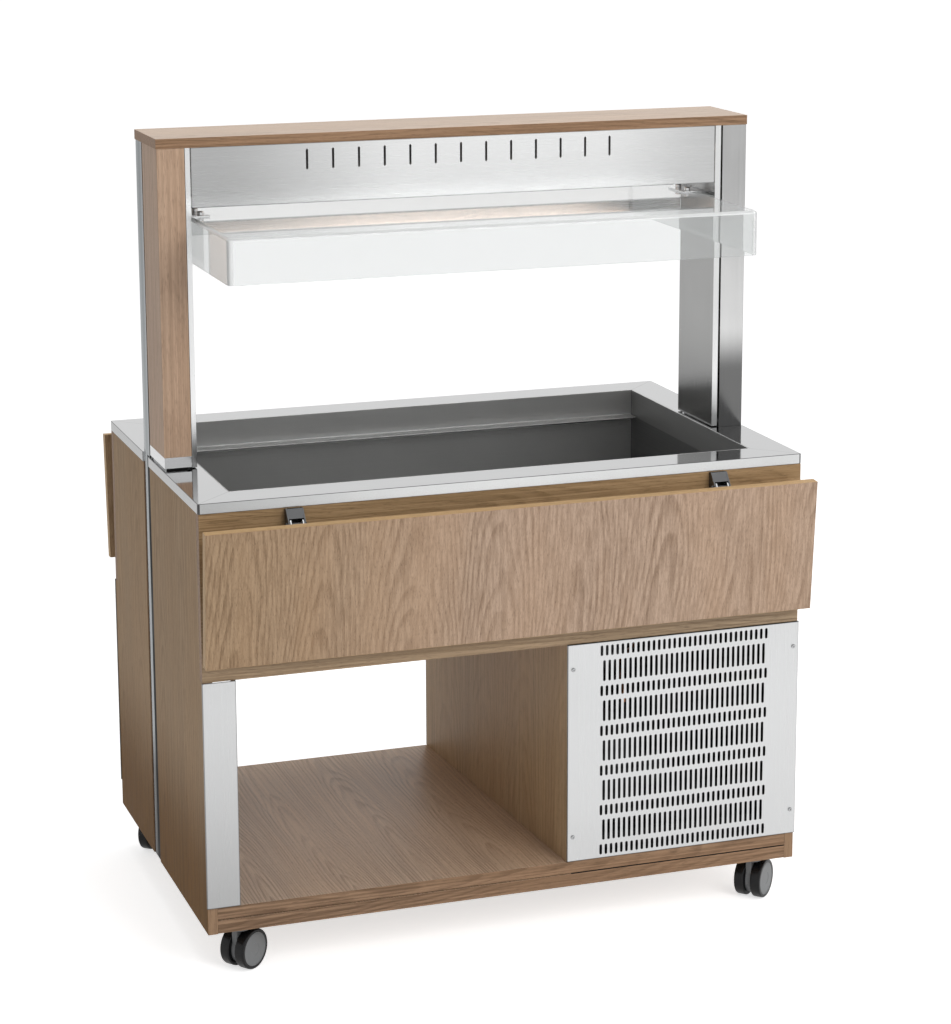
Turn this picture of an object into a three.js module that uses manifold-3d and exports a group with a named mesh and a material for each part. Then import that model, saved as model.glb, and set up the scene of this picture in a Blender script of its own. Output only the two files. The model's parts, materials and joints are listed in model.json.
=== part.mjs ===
// A mobile salad bar: a wooden cabinet on four twin-wheel casters, a chilled steel well in a steel
// worktop, a lit bridge on two posts that carries a clear hood over the food, and a hinged leaf along
// each long side.  Millimetres, +Z up, origin on the floor under the middle of the cabinet.
// Front is -Y.  The two long sides are alike, so most pieces of the rear are the front ones turned
// half round the vertical axis.
import * as THREE from 'three';
import { mergeVertices } from 'three/addons/utils/BufferGeometryUtils.js';
import Module from 'manifold-3d';

const wasm = await Module();
wasm.setup();

// ---------------------------------------------------------------- driving dimensions

// cabinet
const BOARD = 19;
const WORKTOP_HEIGHT = 880;
const WORKTOP_EDGE = 19;
const WORKTOP_CORNER = 4;
const SIDE_INSET = 1;
const SIDE_BOARD = 18;
const FLOOR_CLEARANCE = 87;
const LOWER_BOARD_LIFT = 1;
const LOWER_BOARD = 24;
const BASE_BOARD = 24.5;
const GROOVE_HEIGHT = 2;
const GROOVE_DEPTH = 6;
const APRON_HEIGHT = 304;
const DECK_BOARD = 19;

// well
const WELL_LENGTH = 1000;
const WELL_BREADTH = 576;
const RIM_END = 75;
const RIM_SIDE = 74.5;
const WELL_DEEP = 200;
const SHEET = 1.5;
const LEDGE_DROP = 50;
const LEDGE_BREADTH = 35;
const LEDGE_LIP = 4;
const LEDGE_LEG = 22;
const LEDGE_END_GAP = 3;
const DRAIN_BORE = 32;
const DRAIN_WALL = 2;
const DRAIN_BELOW_DECK = 22;

// bridge and posts
const BRIDGE_Y = -13.5;
const TOP_BOARD_OVERHANG = 1.5;
const TOP_BOARD_BREADTH = 174;
const TOP_BOARD = 18;
const BRIDGE_RISE = 604;
const POST_REVEAL = 1;
const UPRIGHT_BREADTH = 46;
const UPRIGHT_WIDTH = 48;
const UPRIGHT_WALL = 2;
const UPRIGHT_SETBACK = 2;
const SHADOW_GAP = 7;
const CASING_WALL = 10;
const CASING_INNER_PROUD = 2.5;
const SHOE_HEIGHT = 20;
const SHOE_FOOT = 4;
const SHOE_FOOT_INSET = 4;
const COVER_DEPTH = 9.5;
const COVER_GAP = 1.5;
const COVER_REVEAL = 4;
const FASCIA_HEIGHT = 109;
const FASCIA_LIP = 14;
const FASCIA_END_GAP = 1;
const FASCIA_SLOTS = 13;
const FASCIA_SLOT_PITCH = 49;
const FASCIA_SLOT_WIDTH = 4;
const FASCIA_SLOT_HEIGHT = 38;
const FASCIA_SLOT_DROP = 29.5;

// lamp under the bridge
const LAMP_TRAY_END = 11.2;
const LAMP_TRAY_MOUTH = 150;
const LAMP_TRAY_ROOF = 60;
const LAMP_TRAY_DEEP = 56;
const TUBE_LENGTH = 849;
const TUBE_DIAMETER = 16;
const TUBE_BELOW_BRIDGE = 64;
const TUBE_CAP = 11;
const TUBE_CAP_WALL = 0.6;
const LAMPHOLDER_THICK = 14;
const LAMPHOLDER_WIDTH = 26;
const LAMPHOLDER_FOOT = 13;
const LAMPHOLDER_CHIN = 2;

// clear hood
const HOOD_END_GAP = 10.5;
const HOOD_BREADTH = 608;
const HOOD_HEIGHT = 83;
const HOOD_BELOW_BRIDGE = 133;
const HOOD_WALL = 5;
const HOOD_CORNER = 18;
const HOOD_EDGE = 6;
const HOOD_INNER_EDGE = 3;
const HOOD_FILLET_STEPS = 2;
const HOOD_CORNER_STEPS = 3;
const BRACKET_LENGTH = 70;
const BRACKET_REACH = 46;
const BRACKET_THICK = 3;
const BRACKET_LEG = 26;
const BRACKET_SLOT_GAP = 1;
const THUMB_SPACING = 44;
const THUMB_INSET = 15;
const THUMB_HEAD = 12;
const THUMB_HEAD_HEIGHT = 7;
const THUMB_CROWN = 7;
const THUMB_SHANK = 5;
const THUMB_NUT = 10;
const THUMB_NUT_HEIGHT = 4;

// leaves and their brackets
const LEAF_OVERHANG = 3;
const LEAF_BREADTH = 248;
const LEAF_LEAN_DEG = 4.6;
const LEAF_NEAR_EDGE = 10.3;
const PIVOT_OUT = 18;
const PIVOT_BELOW_TOP = 46;
const HINGE_INSET = 174;
const HOUSING_WIDTH = 32;
const HOUSING_PLATE = 2.5;
const HOUSING_TOP_DEPTH = 9;
const HOUSING_BOTTOM_RADIUS = 11;
const HOUSING_WEB_DROP = 15;
const HOUSING_TOP_GAP = 1;
const HINGE_PIN = 6;
const HINGE_PIN_HEAD = 9;
const HINGE_PIN_DOME = 4;
const HINGE_PIN_SHOULDER = 0.8;
const HINGE_PIN_CROWN = 5;
const HINGE_PIN_NECK = 0.5;
const ARM_PLATE = 2.5;
const ARM_SIDE_GAP = 1;
const ARM_LENGTH = 150;
const ARM_START = 16;
const ARM_DEPTH = 14;
const ARM_END_DEPTH = 7;
const ARM_EYE = 9.5;
const ARM_NECK = 34;
const ARM_CROTCH_OUT = 2.85;
const ARM_CROTCH_BELOW = 11.4;

// lower front and rear plates
const PLATE_STAND = 3.5;
const PLATE_GAP = 1;
const CORNER_PLATE_WIDTH = 61;
const CORNER_PLATE_RETURN = 34;
const PLATE_END_PROUD = 1.5;
const GRILLE_WIDTH = 465.5;
const GRILLE_SIDE_MARGIN = 65;
const GRILLE_ROW_MARGIN = 5;
const GRILLE_PITCH = 10.35;
const GRILLE_ROW_PITCH = 77.2;
const GRILLE_SLOT_WIDTH = 5;
const GRILLE_SHORT_SLOT = 20;
const GRILLE_TALL_SLOT = 40;
const REAR_GRILLE_WIDTH = 501.5;
const REAR_GRILLE_SIDE_MARGIN = 75;
const REAR_GRILLE_ROW_MARGIN = 50;
const REAR_GRILLE_PITCH = 30;
const REAR_GRILLE_ROW_PITCH = 82;
const REAR_GRILLE_SLOT_WIDTH = 8;
const REAR_GRILLE_SLOT = 60;

// refrigeration unit
const UNIT_TRAY_END = 10;
const UNIT_TRAY_INSET = 62.5;
const UNIT_TRAY_EDGE = 22;
const COMPRESSOR_DIAMETER = 158;
const COMPRESSOR_HEIGHT = 205;
const COMPRESSOR_BELT = 112;
const BELT_HALF = 3;
const BELT_REACH = 4;
const BELT_SLOPE = 3;
const POT_FLOOR_RISE = 1;
const POT_TAPER = 4;
const POT_SHOULDER = 8;
const POT_CROWN = 9;
const COMPRESSOR_DISH = 26;
const COMPRESSOR_DOME = 34;
const COMPRESSOR_LIFT = 12;
const COMPRESSOR_OFFSET = 80.5;
const COMPRESSOR_SETBACK = 130;
const COMPRESSOR_FOOT = 190;
const COMPRESSOR_FOOT_BREADTH = 116;
const COMPRESSOR_PLATE = 4;
const GROMMET = 20;
const TERMINAL_BOX = 58;
const TERMINAL_BOX_REACH = 34;
const TERMINAL_BOX_SINK = 12;
const TERMINAL_BOX_DROP = 8;
const STUB_SPACING = 76;
const STUB_HEIGHT = 14;
const CONDENSER_WIDTH = 330;
const CONDENSER_HEADROOM = 119;
const CONDENSER_THICK = 66;
const CONDENSER_SETBACK = 65;
const CONDENSER_FINS = 22;
const CONDENSER_FIN_DEPTH = 4;
const SHROUD_DEPTH = 34;
const SHROUD_MARGIN = 21;
const FAN_TIP_GAP = 4;
const FAN_BLADES = 5;
const FAN_HUB = 62;
const FAN_HUB_DEPTH = 20;
const FAN_HUB_ROUND = 3;
const FAN_PITCH_DEG = 28;
const FAN_BLADE_THICK = 2.5;
const FAN_SETBACK = 3;
const FAN_BORE_DEPTH = 16;
const BLADE_ROOT = 4;
const BLADE_ROOT_HALF = 11;
const BLADE_TIP_HALF = 30;
const BLADE_SHOULDER = 40;
const BLADE_TIP_ROUND = 12;
const BLADE_SWEEP = 4;
const BLADE_TIP_SETBACK = 2;
const MOTOR_DIAMETER = 84;
const MOTOR_LENGTH = 62;
const MOTOR_ROUND = 7;
const MOTOR_SHAFT = 8;
const MOTOR_CLEARANCE = 20;
const STRAP_WIDTH = 32;
const STRAP_THICK = 3;
const STRAP_FOOT = 14;
const LINE_DIAMETER = 10;
const LINE_SIDES = 6;
const LINE_STEPS = 14;
const LINE_BEND = 30;
const LINE_INSET = 36;
const LINE_RISER_OFFSET = 127.5;
const LINE_RISER_Y = 20;

// casters
const WHEEL_DIAMETER = 75;
const WHEEL_WIDTH = 20;
const WHEEL_GAP = 13;
const HUB_DIAMETER = 62;
const TYRE_SHOULDER = 4;
const HUB_RECESS = 1.5;
const AXLE_DIAMETER = 8;
const CASTER_TRAIL = 12;
const CASTER_INSET_X = 67;
const CASTER_INSET_Y = 41;
const CASTER_HEAD_DIAMETER = 42;
const CASTER_HEAD_GAP = 0.8;
const CASTER_HEAD_LIFT = 1.5;
const CASTER_HEAD_ROUND = 3;
const CASTER_NECK = 30;
const STEM_DIAMETER = 11;
const STEM_LENGTH = 36;
const STEM_TIP = 3;
const CASTER_HEAD_CHAMFER = 1;
const CASTER_BODY_RADIUS = 30;
const AXLE_SHORT = 5;
const HUB_SHELL = 2.5;
const CASTER_HEADINGS_DEG = [-52.5, -47, 128, 141];

// how far a cutter runs past a face, and how deep a welded or moulded piece sits in its neighbour
const PAST = 5;
const WELD = 1;

// running and turning clearances
const FIT = 0.3;
const SWIVEL_FIT = 0.5;
const WHEEL_FIT = 0.6;
const WHEEL_SEGMENTS = 16;

// ---------------------------------------------------------------- derived levels and faces

const WORKTOP_WIDTH = WELL_LENGTH + 2 * RIM_END;
const WORKTOP_DEPTH = WELL_BREADTH + 2 * RIM_SIDE;
const HALF_WIDTH = WORKTOP_WIDTH / 2;
const HALF_DEPTH = WORKTOP_DEPTH / 2;
const WORKTOP_UNDER = WORKTOP_HEIGHT - WORKTOP_EDGE;
const SIDE_FACE = HALF_WIDTH - SIDE_INSET;
const SIDE_INNER = SIDE_FACE - SIDE_BOARD;
const LOWER_BOARD_BOTTOM = FLOOR_CLEARANCE + LOWER_BOARD_LIFT;
const BASE_BOTTOM = LOWER_BOARD_BOTTOM + LOWER_BOARD;
const BASE_TOP = BASE_BOTTOM + BASE_BOARD;
const APRON_BOTTOM = WORKTOP_UNDER - APRON_HEIGHT;
const APRON_BACK = HALF_DEPTH - BOARD;
const DECK_TOP = APRON_BOTTOM + DECK_BOARD;
const BRIDGE_TOP = WORKTOP_HEIGHT + BRIDGE_RISE;
const BRIDGE_UNDER = BRIDGE_TOP - TOP_BOARD;
const HOOD_TOP = BRIDGE_UNDER - HOOD_BELOW_BRIDGE;
const POST_FRONT = BRIDGE_Y - TOP_BOARD_BREADTH / 2 + POST_REVEAL;
const POST_BACK = BRIDGE_Y + TOP_BOARD_BREADTH / 2 - POST_REVEAL;
const UPRIGHT_OUTER = SIDE_FACE - UPRIGHT_SETBACK;
const UPRIGHT_INNER = UPRIGHT_OUTER - UPRIGHT_WIDTH;
const UPRIGHT_FRONT = POST_BACK - UPRIGHT_BREADTH;
const CASING_INNER = UPRIGHT_INNER - CASING_INNER_PROUD;
const CASING_BACK = UPRIGHT_FRONT - SHADOW_GAP;
const COVER_OUTER = CASING_INNER - COVER_GAP;
const COVER_INNER = COVER_OUTER - COVER_DEPTH;
const HOOD_LENGTH = 2 * (COVER_INNER - HOOD_END_GAP);
const TOP_BOARD_END = UPRIGHT_OUTER + TOP_BOARD_OVERHANG;
const PIVOT_Y = -(HALF_DEPTH + PIVOT_OUT);
const PIVOT_Z = WORKTOP_HEIGHT - PIVOT_BELOW_TOP;
const LEAF_LEAN = THREE.MathUtils.degToRad(LEAF_LEAN_DEG);
const LEAF_END = HALF_WIDTH + LEAF_OVERHANG;
const PLATE_END = SIDE_FACE + PLATE_END_PROUD;
const PARTITION_FRONT_X = PLATE_END - GRILLE_WIDTH;
const PARTITION_REAR_X = PLATE_END - REAR_GRILLE_WIDTH;
const WHEEL_RADIUS = WHEEL_DIAMETER / 2;

// ---------------------------------------------------------------- materials

function material(color, roughness, metalness) {
  return new THREE.MeshStandardMaterial({ color, roughness, metalness });
}

const OAK = material(0x9a8069, 0.55, 0);
const STEEL = material(0xc9cbcc, 0.3, 1);
const WHITE_PAINT = material(0xf1efe8, 0.4, 0);
const LAMP_GLASS = material(0xfff0d6, 0.3, 0);
const CLEAR = material(0xf4f7f8, 0.05, 0);
const BLACK_STEEL = material(0x1b1c1e, 0.4, 0.6);
const ZINC = material(0xb9bcbe, 0.35, 1);
const BLACK_PAINT = material(0x161718, 0.45, 0);
const FIN_ALUMINIUM = material(0xaeb2b4, 0.5, 1);
const COPPER = material(0xb4734e, 0.35, 1);
const RUBBER = material(0x141414, 0.75, 0);
const GREY_PLASTIC = material(0x77797b, 0.5, 0);

// ---------------------------------------------------------------- shape helpers

// A polygon from [u, v] pairs.
function outline(pairs) {
  return new THREE.Shape(pairs.map(([u, v]) => new THREE.Vector2(u, v)));
}

// A closed box between two corners, whose faces lie exactly on the values given.
function block(x0, x1, y0, y1, z0, z1) {
  const ring = [[x0, y0], [x1, y0], [x1, y1], [x0, y1]];
  return loft([{ points: ring, z: z0 }, { points: ring, z: z1 }]);
}

// An outline in (x, y) raised from z0 to z1.
function upright(shape, z0, z1) {
  const geometry = new THREE.ExtrudeGeometry(shape, { depth: z1 - z0, bevelEnabled: false });
  return geometry.translate(0, 0, z0);
}

// An outline in (y, z) run from x0 to x1.
function alongX(shape, x0, x1) {
  const geometry = new THREE.ExtrudeGeometry(shape, { depth: x1 - x0, bevelEnabled: false });
  const turn = new THREE.Matrix4().makeBasis(
    new THREE.Vector3(0, 1, 0), new THREE.Vector3(0, 0, 1), new THREE.Vector3(1, 0, 0));
  return geometry.applyMatrix4(turn).translate(x0, 0, 0);
}

// An outline in (x, z) run from y0 to y1.
function alongY(shape, y0, y1) {
  const geometry = new THREE.ExtrudeGeometry(shape, { depth: y1 - y0, bevelEnabled: false });
  const turn = new THREE.Matrix4().makeBasis(
    new THREE.Vector3(1, 0, 0), new THREE.Vector3(0, 0, 1), new THREE.Vector3(0, -1, 0));
  return geometry.applyMatrix4(turn).translate(0, y1, 0);
}

// A solid of revolution about Z from [radius, z] pairs, which start and end on the axis or close.
function turned(pairs, segments) {
  const points = pairs.map(([r, z]) => new THREE.Vector2(r, z));
  return new THREE.LatheGeometry(points, segments).rotateX(Math.PI / 2);
}

// Points of a rectangle with round corners, counter-clockwise, centred on (0, cy).
function roundedRectangle(length, breadth, cy, radius, steps) {
  const points = [];
  const centres = [[1, 1], [-1, 1], [-1, -1], [1, -1]];
  centres.forEach(([sx, sy], corner) => {
    for (let i = 0; i <= steps; i += 1) {
      const angle = (corner + i / steps) * Math.PI / 2;
      const x = sx * (length / 2 - radius) + radius * Math.cos(angle);
      const y = cy + sy * (breadth / 2 - radius) + radius * Math.sin(angle);
      points.push([x, y]);
    }
  });
  return points;
}

// A solid through rings of [x, y] points, each at its own z, capped at both ends.
function loft(rings) {
  const count = rings[0].points.length;
  const positions = [];
  rings.forEach(({ points, z }) => points.forEach(([x, y]) => positions.push(x, y, z)));
  const index = [];
  for (let ring = 0; ring < rings.length - 1; ring += 1) {
    for (let i = 0; i < count; i += 1) {
      const a = ring * count + i;
      const b = ring * count + (i + 1) % count;
      index.push(a, b, b + count, a, b + count, a + count);
    }
  }
  const cap = THREE.ShapeUtils.triangulateShape(
    rings[0].points.map(([x, y]) => new THREE.Vector2(x, y)), []);
  const top = (rings.length - 1) * count;
  cap.forEach(([a, b, c]) => {
    index.push(a, c, b);
    index.push(top + a, top + b, top + c);
  });
  const geometry = new THREE.BufferGeometry();
  geometry.setAttribute('position', new THREE.Float32BufferAttribute(positions, 3));
  geometry.setIndex(index);
  return geometry;
}

// A round tube along a smooth curve through the points.
function pipe(points, diameter, sides, steps) {
  const curve = new THREE.CatmullRomCurve3(points.map((p) => new THREE.Vector3(...p)), false, 'centripetal');
  const section = [];
  for (let i = 0; i < sides; i += 1) {
    const angle = i * 2 * Math.PI / sides;
    section.push([Math.cos(angle) * diameter / 2, Math.sin(angle) * diameter / 2]);
  }
  return new THREE.ExtrudeGeometry(outline(section), { steps, extrudePath: curve, bevelEnabled: false });
}

// ---------------------------------------------------------------- booleans

function toSolid(geometry) {
  const bare = geometry.clone();
  bare.deleteAttribute('normal');
  bare.deleteAttribute('uv');
  const merged = mergeVertices(bare, 1e-4);
  return new wasm.Manifold(new wasm.Mesh({
    numProp: 3,
    vertProperties: new Float32Array(merged.attributes.position.array),
    triVerts: new Uint32Array(merged.index.array),
  }));
}

function toGeometry(solid) {
  const mesh = solid.getMesh();
  const geometry = new THREE.BufferGeometry();
  geometry.setAttribute('position', new THREE.BufferAttribute(new Float32Array(mesh.vertProperties), 3));
  geometry.setIndex(new THREE.BufferAttribute(new Uint32Array(mesh.triVerts), 1));
  return geometry;
}

function cut(body, tools) {
  const result = tools.reduce((solid, tool) => solid.subtract(toSolid(tool)), toSolid(body));
  return toGeometry(result);
}

function join(pieces) {
  const [first, ...rest] = pieces.map(toSolid);
  return toGeometry(rest.reduce((solid, piece) => solid.add(piece), first));
}

// Several separate bodies in one geometry.
function together(pieces) {
  const positions = [];
  const index = [];
  pieces.forEach((piece) => {
    const bare = piece.clone();
    bare.deleteAttribute('normal');
    bare.deleteAttribute('uv');
    const merged = mergeVertices(bare, 1e-4);
    const start = positions.length / 3;
    positions.push(...merged.attributes.position.array);
    merged.index.array.forEach((vertex) => index.push(start + vertex));
  });
  const geometry = new THREE.BufferGeometry();
  geometry.setAttribute('position', new THREE.Float32BufferAttribute(positions, 3));
  geometry.setIndex(index);
  return geometry;
}

// The same geometry turned half round the vertical axis through (0, cy).
function halfTurn(geometry, cy = 0) {
  return geometry.clone().translate(0, -cy, 0).rotateZ(Math.PI).translate(0, cy, 0);
}

// ---------------------------------------------------------------- assembly

const bar = new THREE.Group();

function add(name, geometry, look, parent = bar) {
  const mesh = new THREE.Mesh(geometry, look);
  mesh.name = name;
  parent.add(mesh);
  return mesh;
}

// -------- cabinet boards

// A side board in (y, z): full height down the lower part and set back behind the apron above.  On each
// side one of the two boards keeps a shadow gap from the upright and the other stands against it.
function sideBoardOutline(outerY, innerY) {
  const apronBack = Math.sign(outerY) * APRON_BACK;
  return outline([
    [innerY, FLOOR_CLEARANCE], [innerY, WORKTOP_UNDER], [apronBack, WORKTOP_UNDER],
    [apronBack, APRON_BOTTOM], [outerY, APRON_BOTTOM], [outerY, FLOOR_CLEARANCE],
  ]);
}

const longSideBoard = alongX(sideBoardOutline(-HALF_DEPTH, CASING_BACK), -SIDE_FACE, -SIDE_INNER);
const shortSideBoard = alongX(sideBoardOutline(HALF_DEPTH, POST_BACK), -SIDE_FACE, -SIDE_INNER);
const rightUprightFront = 2 * BRIDGE_Y - POST_BACK;
const rightUprightBack = 2 * BRIDGE_Y - UPRIGHT_FRONT;
add('side_panel_left_front', longSideBoard, OAK);
add('side_panel_left_rear', shortSideBoard, OAK);
add('side_panel_right_front',
  alongX(sideBoardOutline(-HALF_DEPTH, rightUprightFront), SIDE_INNER, SIDE_FACE), OAK);
add('side_panel_right_rear',
  alongX(sideBoardOutline(HALF_DEPTH, rightUprightBack + SHADOW_GAP), SIDE_INNER, SIDE_FACE), OAK);

const apron = block(-SIDE_FACE, SIDE_FACE, -HALF_DEPTH, -APRON_BACK, APRON_BOTTOM, WORKTOP_UNDER);
add('apron_front', apron, OAK);
add('apron_rear', halfTurn(apron), OAK);

// A board between the side boards, notched round the two uprights.
function floorBoardOutline(endY) {
  const notchX = UPRIGHT_INNER - FIT;
  return outline([
    [-SIDE_INNER, -endY], [SIDE_INNER, -endY],
    [SIDE_INNER, rightUprightFront - FIT], [notchX, rightUprightFront - FIT],
    [notchX, rightUprightBack + FIT], [SIDE_INNER, rightUprightBack + FIT],
    [SIDE_INNER, endY], [-SIDE_INNER, endY],
    [-SIDE_INNER, POST_BACK + FIT], [-notchX, POST_BACK + FIT],
    [-notchX, UPRIGHT_FRONT - FIT], [-SIDE_INNER, UPRIGHT_FRONT - FIT],
  ]);
}

// A plain round cutter or pin on the vertical axis.
function peg(diameter, z0, z1, segments) {
  const r = diameter / 2;
  return turned([[0, z0], [r, z0], [r, z1], [0, z1]], segments);
}

const drainOuter = DRAIN_BORE + 2 * DRAIN_WALL;

function deckGeometry() {
  const board = upright(floorBoardOutline(APRON_BACK), APRON_BOTTOM, DECK_TOP);
  return cut(board, [peg(drainOuter + 2 * SWIVEL_FIT, APRON_BOTTOM - PAST, DECK_TOP + PAST, 16)]);
}
add('deck_board', deckGeometry(), OAK);

const casterX = SIDE_FACE - CASTER_INSET_X;
const casterY = HALF_DEPTH - CASTER_INSET_Y;
const casterPlaces = [[-1, -1], [1, -1], [1, 1], [-1, 1]].map(([sx, sy]) => [sx * casterX, sy * casterY]);
const casterNames = ['front_left', 'front_right', 'rear_right', 'rear_left'];

// Two boards glued one on the other, with a shadow groove at the joint and four sockets for the
// stems of the casters.
function baseGeometry() {
  const boards = upright(floorBoardOutline(HALF_DEPTH), LOWER_BOARD_BOTTOM, BASE_TOP);
  const grooves = [-1, 1].map((side) => {
    const edge = side * HALF_DEPTH;
    const bottom = edge - side * GROOVE_DEPTH;
    const outside = edge + side * PAST;
    return block(-HALF_WIDTH, HALF_WIDTH, Math.min(bottom, outside), Math.max(bottom, outside),
      BASE_BOTTOM, BASE_BOTTOM + GROOVE_HEIGHT);
  });
  const socketTop = LOWER_BOARD_BOTTOM + STEM_LENGTH + SWIVEL_FIT;
  const sockets = casterPlaces.map(([x, y]) => peg(
    STEM_DIAMETER + 2 * SWIVEL_FIT, LOWER_BOARD_BOTTOM - PAST, socketTop, 14).translate(x, y, 0));
  return cut(boards, [...grooves, ...sockets]);
}
add('base_board', baseGeometry(), OAK);

// The partition between the open bay and the machine space stands a little askew.
add('partition', upright(outline([
  [PARTITION_FRONT_X, -HALF_DEPTH], [PARTITION_FRONT_X + BOARD, -HALF_DEPTH],
  [PARTITION_REAR_X + BOARD, HALF_DEPTH], [PARTITION_REAR_X, HALF_DEPTH],
]), BASE_TOP, APRON_BOTTOM), OAK);

// -------- worktop and well

const tubOuterX = WELL_LENGTH / 2 + SHEET;
const tubOuterY = WELL_BREADTH / 2 + SHEET;
const tubFloor = WORKTOP_HEIGHT - WELL_DEEP;
const notchInner = UPRIGHT_INNER - FIT;

function worktopGeometry() {
  const face = outline(roundedRectangle(WORKTOP_WIDTH, WORKTOP_DEPTH, 0, WORKTOP_CORNER, 3));
  face.holes.push(new THREE.Path([
    new THREE.Vector2(-tubOuterX, -tubOuterY), new THREE.Vector2(-tubOuterX, tubOuterY),
    new THREE.Vector2(tubOuterX, tubOuterY), new THREE.Vector2(tubOuterX, -tubOuterY),
  ]));
  const slab = upright(face, WORKTOP_UNDER, WORKTOP_HEIGHT);
  const leftNotch = block(-HALF_WIDTH - PAST, -notchInner, UPRIGHT_FRONT - FIT, POST_BACK + FIT,
    WORKTOP_UNDER - PAST, WORKTOP_HEIGHT + PAST);
  return cut(slab, [leftNotch, halfTurn(leftNotch, BRIDGE_Y)]);
}
add('worktop', worktopGeometry(), STEEL);

// A bent ledge welded along a long wall of the well, with a lip down its free edge.
function ledgeGeometry() {
  const weld = SHEET / 2;
  const wall = -WELL_BREADTH / 2;
  const top = WORKTOP_HEIGHT - LEDGE_DROP;
  const inner = wall + LEDGE_BREADTH;
  const profile = outline([
    [wall - weld, top - LEDGE_LEG], [wall + SHEET, top - LEDGE_LEG], [wall + SHEET, top - SHEET],
    [inner - SHEET, top - SHEET], [inner - SHEET, top - LEDGE_LIP], [inner, top - LEDGE_LIP],
    [inner, top], [wall - weld, top],
  ]);
  const half = WELL_LENGTH / 2 - LEDGE_END_GAP;
  return alongX(profile, -half, half);
}

function tubGeometry() {
  const shell = block(-tubOuterX, tubOuterX, -tubOuterY, tubOuterY, tubFloor - SHEET, WORKTOP_HEIGHT);
  const inside = block(-WELL_LENGTH / 2, WELL_LENGTH / 2, -WELL_BREADTH / 2, WELL_BREADTH / 2,
    tubFloor, WORKTOP_HEIGHT + PAST);
  const spoutEnd = APRON_BOTTOM - DRAIN_BELOW_DECK;
  const spout = peg(drainOuter, spoutEnd, tubFloor - SHEET / 2, 16);
  const bore = peg(DRAIN_BORE, spoutEnd - PAST, tubFloor + PAST, 16);
  const tub = cut(join([shell, spout]), [inside, bore]);
  return join([tub, ledgeGeometry(), halfTurn(ledgeGeometry())]);
}
add('well_tub', tubGeometry(), STEEL);

// -------- posts

const shoeBottom = WORKTOP_HEIGHT + SHOE_FOOT;
const casingBottom = shoeBottom + SHOE_HEIGHT;

// A steel tube from the foot of the cabinet to the bridge.  Above the worktop a shoe is welded to its
// side, which takes the foot of the wooden casing.  A foot under the shoe keeps it off the worktop and
// reaches back across the shadow gap to the tube.
function uprightGeometry() {
  const inner = UPRIGHT_INNER + UPRIGHT_WALL;
  const outer = UPRIGHT_OUTER - UPRIGHT_WALL;
  const tube = block(-UPRIGHT_OUTER, -UPRIGHT_INNER, UPRIGHT_FRONT, POST_BACK, FLOOR_CLEARANCE, BRIDGE_UNDER);
  const hollow = block(-outer, -inner, UPRIGHT_FRONT + UPRIGHT_WALL, POST_BACK - UPRIGHT_WALL,
    FLOOR_CLEARANCE - PAST, BRIDGE_UNDER + PAST);
  const weld = UPRIGHT_FRONT + UPRIGHT_WALL / 2;
  const cup = block(-UPRIGHT_OUTER, -CASING_INNER, POST_FRONT, CASING_BACK, shoeBottom, casingBottom);
  const foot = block(-UPRIGHT_OUTER + SHOE_FOOT_INSET, -UPRIGHT_INNER - SHOE_FOOT_INSET,
    POST_FRONT + SHOE_FOOT_INSET, weld, WORKTOP_HEIGHT, casingBottom - SHOE_FOOT_INSET);
  return join([cut(tube, [hollow]), cup, foot]);
}
add('upright_left', uprightGeometry(), STEEL);
add('upright_right', halfTurn(uprightGeometry(), BRIDGE_Y), STEEL);

function casingGeometry() {
  const box = outline([
    [-UPRIGHT_OUTER, POST_FRONT], [-CASING_INNER, POST_FRONT],
    [-CASING_INNER, CASING_BACK], [-UPRIGHT_OUTER, CASING_BACK],
  ]);
  box.holes.push(new THREE.Path([
    new THREE.Vector2(-UPRIGHT_OUTER + CASING_WALL, POST_FRONT + CASING_WALL),
    new THREE.Vector2(-UPRIGHT_OUTER + CASING_WALL, CASING_BACK - CASING_WALL),
    new THREE.Vector2(-CASING_INNER - CASING_WALL, CASING_BACK - CASING_WALL),
    new THREE.Vector2(-CASING_INNER - CASING_WALL, POST_FRONT + CASING_WALL),
  ]));
  return upright(box, casingBottom, BRIDGE_UNDER);
}
add('post_casing_left', casingGeometry(), OAK);
add('post_casing_right', halfTurn(casingGeometry(), BRIDGE_Y), OAK);

const tabBottom = HOOD_TOP;
const tabTop = tabBottom + BRACKET_THICK;

// A shallow steel channel that faces the well and hides the lamp wiring, slotted for the hood bracket.
function coverGeometry() {
  const front = POST_FRONT + COVER_REVEAL;
  const back = POST_BACK - COVER_REVEAL;
  const channel = outline([
    [-COVER_OUTER, front], [-COVER_INNER, front], [-COVER_INNER, back], [-COVER_OUTER, back],
    [-COVER_OUTER, back - SHEET], [-COVER_INNER - SHEET, back - SHEET],
    [-COVER_INNER - SHEET, front + SHEET], [-COVER_OUTER, front + SHEET],
  ]);
  const half = BRACKET_LENGTH / 2 + BRACKET_SLOT_GAP;
  const slot = block(-COVER_INNER - 2 * SHEET, -COVER_INNER + 2 * SHEET, BRIDGE_Y - half, BRIDGE_Y + half,
    tabBottom - BRACKET_SLOT_GAP, tabTop + BRACKET_SLOT_GAP);
  return cut(upright(channel, shoeBottom, BRIDGE_UNDER), [slot]);
}
add('post_cover_left', coverGeometry(), STEEL);
add('post_cover_right', halfTurn(coverGeometry(), BRIDGE_Y), STEEL);

// -------- bridge

add('top_board', block(-TOP_BOARD_END, TOP_BOARD_END, BRIDGE_Y - TOP_BOARD_BREADTH / 2,
  BRIDGE_Y + TOP_BOARD_BREADTH / 2, BRIDGE_UNDER, BRIDGE_TOP), OAK);

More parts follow.
